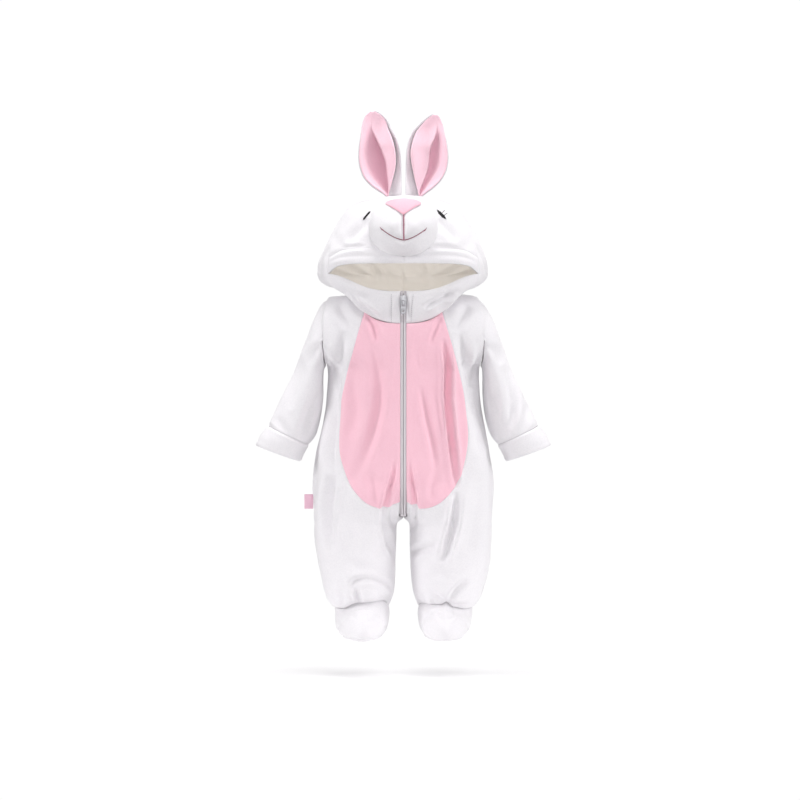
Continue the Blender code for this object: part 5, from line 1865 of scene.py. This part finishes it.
class Ears:
    """Both ears, each a white back and a rose front that is folded into a cup."""

    def grid(self, table: tuple[EarRow, ...], share: Array, front: bool) -> Array:
        """Points of the ear's face, tip to base, as for the left ear.

        Args:
            table: The ear's rows.
            share: Shares across.
            front: Whether it is the rose front, with its flaps and its hollow.

        Returns:
            The grid.
        """
        rows = spread(125.0, 1.8) * (len(table) - 1)
        read = np.moveaxis(read_table(np.array(table), rows), -1, 0)
        z, outer, rose, white, hollow_outer, hollow_inner, edge_y, cup = (v[:, None] for v in read)
        inner = rose if front else white
        start = outer if front else outer + EAR_TUCK * np.clip(rows[:, None] / 3.0, 0.2, 1.0)
        x = start + (inner - start) * share[None]
        across = np.clip((x - outer) / (white - outer), 0, 1)
        y = edge_y + cup * np.sin(np.pi * across) ** 0.8
        if front:
            soft = smooth(hollow_outer - x, -5.0, 3.0) * np.clip((x - outer) / 3.0, 0, 1) ** 0.5
            sharp = smooth(x - hollow_inner, -0.9, 1.3) * np.clip((inner - x) / 3.0, 0, 1) ** 0.5
            depth = np.clip(cup / 16.0, 0.0, 1.0) * smooth(282.0 - z, 0.0, 46.0)
            y = y - depth * EAR_FLAP * (0.6 * soft + 1.3 * sharp)
        return joined(x, y, z)

    def build(self, finishes: Finishes) -> None:
        """Builds the four pieces.

        Args:
            finishes: The suit's finishes.
        """
        share = np.linspace(0, 1, EAR_COLUMNS)
        relief = Relief((), Undulation(0.4, 18.0, 60.0, seed=5), fade=4.0)
        for side, table in zip(SIDES, (EAR_LEFT, EAR_RIGHT)):
            front = Cloth().add(self.grid(table, share, True))
            back = Cloth().add(self.grid(table, share, False)).inset(EAR_CLOTH + SEAM_GAP)
            # The rose front wears rose fleece painted lighter, as painted light.
            piece = sew(f"ear_front_{side}", front.on(side), finishes.ear, EAR_FRONT_CUT, relief)
            # The rose front gets a mask of painted shade for its hollow.
            self.paint_hollow_shade(piece, table)
            sew(f"ear_back_{side}", back.on(side), finishes.white, EAR_BACK_CUT, relief)

    def paint_hollow_shade(self, piece: Piece, table: tuple[EarRow, ...]) -> None:
        """Writes how deep in the ear's hollow each corner lies as the mesh's own attribute, a mask for the
        painted shade that darkens the hollow.

        Args:
            piece: The ear's front.
            table: The ear's rows.
        """
        corners = np.empty(len(piece.data.vertices) * 3)
        piece.data.vertices.foreach_get("co", corners)
        x, z = -np.abs(corners[0::3]) / METRES, corners[2::3] / METRES
        rows = np.array(table)[::-1]
        outer, inner = (np.interp(z, rows[:, 0], rows[:, column]) for column in (4, 5))
        share = (x - outer) / np.maximum(inner - outer, 0.5)
        # Painted-shade mask: high inside the hollow, fading at its edges and towards the tip.
        deep = smooth(share, -0.25, 0.45) * smooth(-share, -1.12, -0.96) * smooth(272.0 - z, 0.0, 26.0)
        mark = piece.data.attributes.new(HOLLOW_SHADE, "FLOAT", "POINT")
        mark.data.foreach_set("value", deep.astype(np.float32))


# ---- threads and teeth


class PathTree:
    """A Geometry Nodes tree that sets small rounded pills along a line."""

    def __init__(self) -> None:
        """Builds the tree with its named inputs."""
        self.tree = bpy.data.node_groups.new("Pills along a line", "GeometryNodeTree")
        self.tree.is_modifier = True
        self.socket("Geometry", "Geometry")
        self.pitch = self.socket("Pitch", "Float")
        self.size = self.socket("Half size", "Vector")
        self.finish = self.socket("Finish", "Material")
        self.socket("Geometry", "Geometry", "OUTPUT")
        made = Nodes(self.tree)
        given, out = made.add("NodeGroupInput"), made.add("NodeGroupOutput")
        curve = made.add("GeometryNodeMeshToCurve")
        level = made.add("GeometryNodeSetCurveNormal", mode="Z_UP")
        points = made.add("GeometryNodeCurveToPoints", mode="LENGTH")
        place = made.add("GeometryNodeInstanceOnPoints")
        real = made.add("GeometryNodeRealizeInstances")
        finish = made.add("GeometryNodeSetMaterial")
        chain = (given, curve, level, points, place, real, finish, out)
        for before, after in zip(chain, chain[1:]):
            made.link(before.outputs[0], after.inputs[0])
        pill, soft_pill = made.add("GeometryNodeMeshUVSphere"), made.add("GeometryNodeSetShadeSmooth")
        for start, end in (
            (8, pill.inputs["Segments"]),
            (5, pill.inputs["Rings"]),
            (1.0, pill.inputs["Radius"]),
            (pill.outputs["Mesh"], soft_pill.inputs[0]),
            (soft_pill.outputs[0], place.inputs["Instance"]),
            (points.outputs["Rotation"], place.inputs["Rotation"]),
            (given.outputs["Pitch"], points.inputs["Length"]),
            (given.outputs["Half size"], place.inputs["Scale"]),
            (given.outputs["Finish"], finish.inputs["Material"]),
        ):
            made.link(start, end)

    def socket(self, title: str, kind: str, way: str = "INPUT") -> str:
        """Adds a named socket, and says which identifier it has."""
        return self.tree.interface.new_socket(title, in_out=way, socket_type=f"NodeSocket{kind}").identifier

    def build(self, name: str, lines: list[Array], pitch: float, half_size: Triple, look: Look) -> Piece:
        """Sets pills along some lines, as a plain mesh.

        Args:
            name: The piece's name.
            lines: Points along each line, in millimetres.
            pitch: The distance between pills.
            half_size: Half of each pill's size sideways, outwards and along.
            look: Its finish.

        Returns:
            The piece.
        """
        guide = bpy.data.meshes.new(f"{name}_line")
        corners, edges = [], []
        for line in lines:
            edges += [(len(corners) + k, len(corners) + k + 1) for k in range(len(line) - 1)]
            corners += (np.asarray(line) * METRES).tolist()
        guide.from_pydata(corners, edges, [])
        holder = show(f"{name}_guide", guide)
        step = holder.modifiers.new("Pills", "NODES")
        step.node_group = self.tree
        step[self.pitch] = pitch * METRES
        step[self.size] = [v * METRES for v in half_size]
        step[self.finish] = look.material
        mesh = baked(holder, name)
        if not mesh.materials:
            mesh.materials.append(look.material)
        bpy.data.objects.remove(holder)
        bpy.data.meshes.remove(guide)
        return dress(show(name, mesh), look)


class Needle:
    """Lays lines of thread on the finished cloth, as seen from the front."""

    def __init__(self, cloths: list[Piece]) -> None:
        """Takes the pieces that the thread lies on.

        Args:
            cloths: The pieces.
        """
        corners: list[Vector] = []
        faces: list[list[int]] = []
        for cloth in cloths:
            start = len(corners)
            corners += [v.co.copy() for v in cloth.data.vertices]
            faces += [[start + v for v in p.vertices] for p in cloth.data.polygons]
        self.tree = BVHTree.FromPolygons(corners, faces)

    def lay(self, path: Any, lift: float, step: float = 0.8) -> Array:
        """Points of a line laid on the cloth.

        Args:
            path: Its spots, as (across, up) in millimetres.
            lift: How far it lies off the cloth.
            step: The distance between its points.

        Returns:
            The points in millimetres.
        """
        spots = np.asarray(path, float)
        length = np.linalg.norm(np.diff(spots, axis=0), axis=1).sum()
        fine = read_table(spots, np.linspace(0, len(spots) - 1, max(3, int(length / step))))
        way = Vector(View.FRONT.value)
        line = []
        for across, up in fine:
            start = Vector((across, 0.0, up)) * METRES + way * NEEDLE_START
            hit, normal, _, _ = self.tree.ray_cast(start, -way)
            if hit is not None:
                line.append(hit / METRES + normal * lift)
        return np.array(line)


NEEDLE_START = 0.4
EYE_LEFT = ((-59.6, 127.6), (-56.6, 131.2), (-53.2, 135.4), (-49.6, 139.4))
EYE_RIGHT = ((50.6, 141.6), (54.6, 137.2), (59, 132.8), (63.2, 128.8))
EYE_STRANDS = ((0, 0), (0.9, 0.1), (-0.9, 0.1), (1.7, 0.26), (-1.7, 0.26))
LASHES = (((57.4, 137), (61.6, 141.2)), ((60.6, 133.6), (65.2, 137)))
MOUTH = (
    (-32.6, 113.8), (-27, 109.6), (-20, 105), (-11, 100.4), (0.8, 97.4), (11, 100), (20, 104.4),
    (27, 108.8), (32.6, 112.6),
)
PHILTRUM = ((0.8, 134.4), (0.8, 126), (0.8, 112), (0.8, 98.2))
COLLAR_STITCHES = (
    ((-17.7, 15.5), (-17.9, 0), (-17.9, -14), (-17.9, -25)),
    ((14.8, 15.5), (13.2, 0), (12.2, -14), (11.6, -25)),
)
MOUTH_KNOTS = (((-34, 115.8), (-31.8, 112.4)), ((33.8, 114.6), (31.8, 111.2)))


class Embroidery:
    """The stitched eyes, mouth and the line under the nose."""

    def __init__(self, needle: Needle, pills: PathTree) -> None:
        """Takes the needle and the tree of stitches."""
        self.needle = needle
        self.pills = pills

    def build(self, finishes: Finishes) -> None:
        """Builds the stitched lines.

        Args:
            finishes: The suit's finishes.
        """
        lay = self.needle.lay
        eyes = [
            lay(shifted(trimmed(eye, short), by), 0.3)
            for eye, strands in ((EYE_LEFT, EYE_STRANDS[:3]), (EYE_RIGHT, EYE_STRANDS))
            for by, short in strands
        ]
        lashes = [lay(path, 0.3, 0.6) for path in LASHES]
        mouth = [lay(shifted(MOUTH, by), 0.15) for by in (-0.3, 0.3)]
        mouth += [lay(path, 0.3, 0.6) for path in MOUTH_KNOTS]
        under_nose = [lay(shifted(PHILTRUM, by), 0.15) for by in (-0.45, 0.45)]
        collar = [lay(path, 0.1) for path in COLLAR_STITCHES]
        for name, lines, pitch, half_size, look in (
            ("eye_stitches", eyes, 1.2, (0.65, 0.5, 1.25), finishes.black),
            ("lash_stitches", lashes, 1.1, (0.4, 0.4, 1.0), finishes.black),
            ("mouth_stitches", mouth, 1.7, (0.5, 0.5, 1.4), finishes.plum),
            ("philtrum_stitches", under_nose, 1.7, (0.6, 0.5, 1.4), finishes.rose_thread),
            ("collar_stitches", collar, 2.9, (0.42, 0.3, 1.15), finishes.thread),
        ):
            self.pills.build(name, [line for line in lines if len(line) > 2], pitch, half_size, look)


def trimmed(path: Any, share: float) -> Array:
    """A path without a share of its length at each end."""
    spots = np.asarray(path, float)
    return read_table(spots, np.linspace(share, 1 - share, 6) * (len(spots) - 1))


def shifted(path: Any, by: float) -> Array:
    """A path moved sideways, as seen from its own side."""
    spots = np.asarray(path, float)
    run = run_of(spots)
    return spots + joined(-run[:, 1], run[:, 0]) * by


# ---- zip and label


CORD = ((-4.4, -2), (-4.2, -1.2), (-3.4, -1), (-2.9, -1.6), (-0.4, -2), (-0.3, -3.3), (-4.4, -3.3))
TAPE_SECTION = ((-9.5, -3.7), (-0.25, -3.7), (-0.25, -4.5), (-9.5, -4.5))
ZIP_BODY_Z = (-44, -66, -92, -122, -156, -190, -222, -250, -272, -290, -303, -315)
TEETH_END_Z = -315.0
TAPE_END_Z = -318.6
TOOTH_PITCH = 1.7
TOOTH_HALF = (1.55, 0.62, 1)
TOOTH_ACROSS = 1.75
TOOTH_DEEP = 1.25
TOOTH_IN = 1.1


FLAT_ANGLE = 2.0
BEVEL_ANGLE = 30.0
SHARP_ANGLE = 40.0


class Zip:
    """The zip's tapes and its two strands with their teeth."""

    def __init__(self, body: BodyForm, hood: HoodForm, pills: PathTree) -> None:
        """Takes the forms that the zip follows and the tree of teeth."""
        self.body, self.hood, self.pills = body, hood, pills

    def line(self, last_z: float) -> Array:
        """The zip's line down the middle as (y, z), smooth from the collar's top to a height."""
        collar = self.hood.collar(np.array((0.0,)), np.array((0.0, 0.33, 0.66, 1.0)))[:, 0]
        heights = np.array([z for z in ZIP_BODY_Z if z > last_z] + [last_z])
        front = self.body.places(joined(-ZIP_HALF, heights))
        corners = np.concatenate((collar, self.body.patch(front, -1)))[:, 1:]
        return read_table(corners, np.linspace(0, len(corners) - 1, 8 * len(corners)))

    def swept(self, line: Array, section: Path) -> Mesh:
        """A strip with one section all along a line in the suit's middle.

        Args:
            line: The line's points.
            section: The section's corners.

        Returns:
            The corners and the faces.
        """
        points = np.array(
            [
                [(x, y + along[1] * out, z - along[0] * out) for x, out in section]
                for (y, z), along in zip(line, run_of(line))
            ]
        )
        count = len(section)
        number = np.arange(points.shape[0] * count).reshape(points.shape[:2])
        after = np.roll(number, -1, axis=1)
        sides = np.stack((after[:-1], number[:-1], number[1:], after[1:]), axis=-1).reshape(-1, 4)
        return points.reshape(-1, 3), sides.tolist() + [number[0].tolist(), number[-1].tolist()[::-1]]

    def build(self, finishes: Finishes) -> None:
        """Builds the tapes, the strands and their teeth.

        Args:
            finishes: The suit's finishes.
        """
        for side, sign in zip(SIDES, (1.0, -1.0)):
            for node, section, look, end in (
                ("zip_tape", TAPE_SECTION, finishes.tape, TAPE_END_Z),
                ("zip_strand", CORD, finishes.teeth, TEETH_END_Z),
            ):
                corners, faces = self.swept(self.line(end), section)
                if sign < 0:
                    corners, faces = mirror(corners), [f[::-1] for f in faces]
                piece = put(f"{node}_{side}_strip", corners, faces, look.material)
                piece.data.shade_flat()
                dress(piece, look, (f"{node}_{side}",))
            line = self.line(TEETH_END_Z)
            run = run_of(line)
            teeth_y, teeth_z = line[:, 0] + TOOTH_DEEP * np.abs(run[:, 1]), line[:, 1] - TOOTH_IN * run[:, 0]
            places = joined(-TOOTH_ACROSS * sign, teeth_y, teeth_z)
            self.pills.build(f"zip_teeth_{side}", [places], TOOTH_PITCH, TOOTH_HALF, finishes.teeth)
def softened(node: Piece, name: str, width: float, material: bpy.types.Material) -> Piece:
    """A copy of a node with its edges rounded.

    Args:
        node: The node's object.
        name: The copy's name.
        width: The rounding's width in millimetres.
        material: Its finish.

    Returns:
        The copy.
    """
    mesh = node.data.copy()
    shape = bmesh.new()
    shape.from_mesh(mesh)
    bmesh.ops.remove_doubles(shape, verts=shape.verts, dist=1e-6)
    flat = math.radians(FLAT_ANGLE)
    bmesh.ops.dissolve_limit(shape, angle_limit=flat, verts=shape.verts, edges=shape.edges)
    shape.to_mesh(mesh)
    shape.free()
    mesh.materials.clear()
    mesh.materials.append(material)
    piece = show(name, mesh)
    edge = piece.modifiers.new("Soft edges", "BEVEL")
    edge.width, edge.segments, edge.limit_method = width * METRES, 2, "ANGLE"
    edge.angle_limit = math.radians(BEVEL_ANGLE)
    piece.data = baked(piece, name)
    piece.modifiers.clear()
    piece.data.shade_smooth()
    piece.data.set_sharp_from_angle(angle=math.radians(SHARP_ANGLE))
    return piece


# ---- studio


@dataclass(frozen=True)
class Lamp:
    """A soft lamp: its place and size in metres, and its power in watts."""

    name: str
    place: Triple
    size: tuple[float, float]
    power: float
    target: Triple = (0.0, 0.0, -0.1)


SENSOR = 36.0
FLOOR_CORNERS = 64
LAMPS = (
    Lamp("Front", (0.3, -3.3, 0.15), (1.5, 0.8), 11.0),
    Lamp("Key", (0.8, -1.7, 2.2), (1.5, 1.1), 17.0),
    Lamp("Left", (-2.4, -0.9, 0.8), (0.8, 0.8), 29.0),
    Lamp("Right", (2.4, -0.7, 0.6), (0.8, 0.8), 25.0),
    Lamp("Top", (0, 0, 2.4), (0.9, 1.2), 35.0, (0, 0, 0)),
    Lamp("Low", (0, -2.6, -0.5), (1.5, 0.5), 7.0),
    Lamp("Back", (0, 3, 0.8), (2, 1), 36.0),
    Lamp("Hood", (0, -0.01, 0.13), (0.18, 0.05), 0.060, (0, 0.09, 0.02)),
)


@dataclass(frozen=True)
class Studio:
    """The pale floor, the soft light and the camera.

    In metres and degrees. The ambient light, the backdrop and the floor's glow are strengths.
    """

    floor_z: float = -0.560
    floor_radius: float = 0.65
    distance: float = 6.0
    elevation: float = 2.5
    target: Triple = (-0.00495, 0.0, -0.1445)
    field_width: float = 1.208
    ambient: float = 0.335
    backdrop: float = 1.02
    floor_glow: float = 0.315

    def build(self) -> None:
        """Builds the studio."""
        bpy.context.scene.view_settings.view_transform = "Standard"
        self.world()
        self.floor()
        for lamp in LAMPS:
            self.light(lamp)
        self.camera()

    def world(self) -> None:
        """A white backdrop all round, with a softer light on the suit than it shows itself."""
        world = bpy.data.worlds.new("Studio")
        world.use_nodes = True
        made = Nodes(world.node_tree)
        backdrop, soft = world.node_tree.nodes["Background"], made.add("ShaderNodeBackground")
        for node, green, strength in ((backdrop, 1.0, self.backdrop), (soft, 0.985, self.ambient)):
            node.inputs["Color"].default_value = (1.0, green, 1.0, 1.0)
            node.inputs["Strength"].default_value = strength
        mix = made.add("ShaderNodeMixShader")
        made.link(made.add("ShaderNodeLightPath").outputs["Is Camera Ray"], mix.inputs["Fac"])
        made.link(soft.outputs[0], mix.inputs[1])
        made.link(backdrop.outputs[0], mix.inputs[2])
        made.link(mix.outputs[0], world.node_tree.nodes["World Output"].inputs["Surface"])
        bpy.context.scene.world = world

    def floor(self) -> None:
        """A round pale floor."""
        turns = whole_turn(FLOOR_CORNERS)
        rim = joined(np.cos(turns), np.sin(turns), 0.0) * self.floor_radius
        rim[:, 2] = self.floor_z
        values = {
            "Roughness": 0.9,
            "Base Color": (0.66, 0.655, 0.66, 1.0),
            "Specular IOR Level": 0.0,
            "Emission Color": (1.0, 1.0, 1.0, 1.0),
            "Emission Strength": self.floor_glow,
        }
        material = principled("Pale floor", values)[0]
        put("studio_floor", rim / METRES, [list(range(len(rim)))], material)

    def light(self, lamp: Lamp) -> None:
        """Hangs a lamp and turns it to its target."""
        light = bpy.data.lights.new(lamp.name, "AREA")
        light.shape = "RECTANGLE"
        light.size, light.size_y = lamp.size
        light.energy = lamp.power
        aim(show(lamp.name, light), Vector(lamp.place), Vector(lamp.target) - Vector(lamp.place))

    def camera(self) -> None:
        """The camera in front of the suit, a little above it."""
        lens = bpy.data.cameras.new("Camera")
        lens.sensor_width = SENSOR
        lens.lens = SENSOR * self.distance / self.field_width
        lens.clip_end = 60.0
        rise = math.radians(self.elevation)
        away = Vector((0.0, -math.cos(rise), math.sin(rise))) * self.distance
        bpy.context.scene.camera = aim(show("Camera", lens), Vector(self.target) + away, -away)


def aim(thing: Piece, place: Vector, way: Vector) -> Piece:
    """Sets a lamp or camera at a place and turns it to look along a way."""
    thing.location = place
    thing.rotation_euler = way.to_track_quat("-Z", "Y").to_euler()
    return thing


def add_trims(finishes: Finishes, frame: dict[str, Any]) -> None:
    """The zip's slider, pull tab and stop and the bare side label, on their own nodes' shapes.

    Args:
        finishes: The suit's finishes.
        frame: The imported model.
    """
    for node, name, width, look, body in (
        ("zip_slider", "zip_slider_metal", 0.45, finishes.metal, SUIT),
        ("zip_pull", "zip_pull_metal", 0.35, finishes.metal, PULL_TAB),
        ("zip_stop", "zip_stop_bar", 0.4, finishes.teeth, SUIT),
        ("side_label", "side_label_ribbon", 0.35, finishes.ribbon, SUIT),
    ):
        dress(softened(frame["nodes"][node], name, width, look.material), look, (node,), body)


def main() -> None:
    """Builds the suit's looks piece by piece."""
    logging.basicConfig(level=logging.INFO, format="%(name)s: %(message)s")
    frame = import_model()
    finishes = Finishes.built()
    body = BodyForm()
    hood_form = HoodForm(body)
    Trunk(body).build(finishes)
    Sleeves(body).build(finishes)
    Feet().build(finishes)
    Hood(hood_form).build(finishes)
    muzzle, nose = Muzzle(hood_form).build(finishes)
    Ears().build(finishes)
    pills = PathTree()
    hoods = [bpy.data.objects[f"hood_{side}_cloth"] for side in SIDES]
    Embroidery(Needle([*hoods, muzzle, nose]), pills).build(finishes)
    Zip(body, hood_form, pills).build(finishes)
    add_trims(finishes, frame)
    Studio().build()


if __name__ == "__main__":
    main()
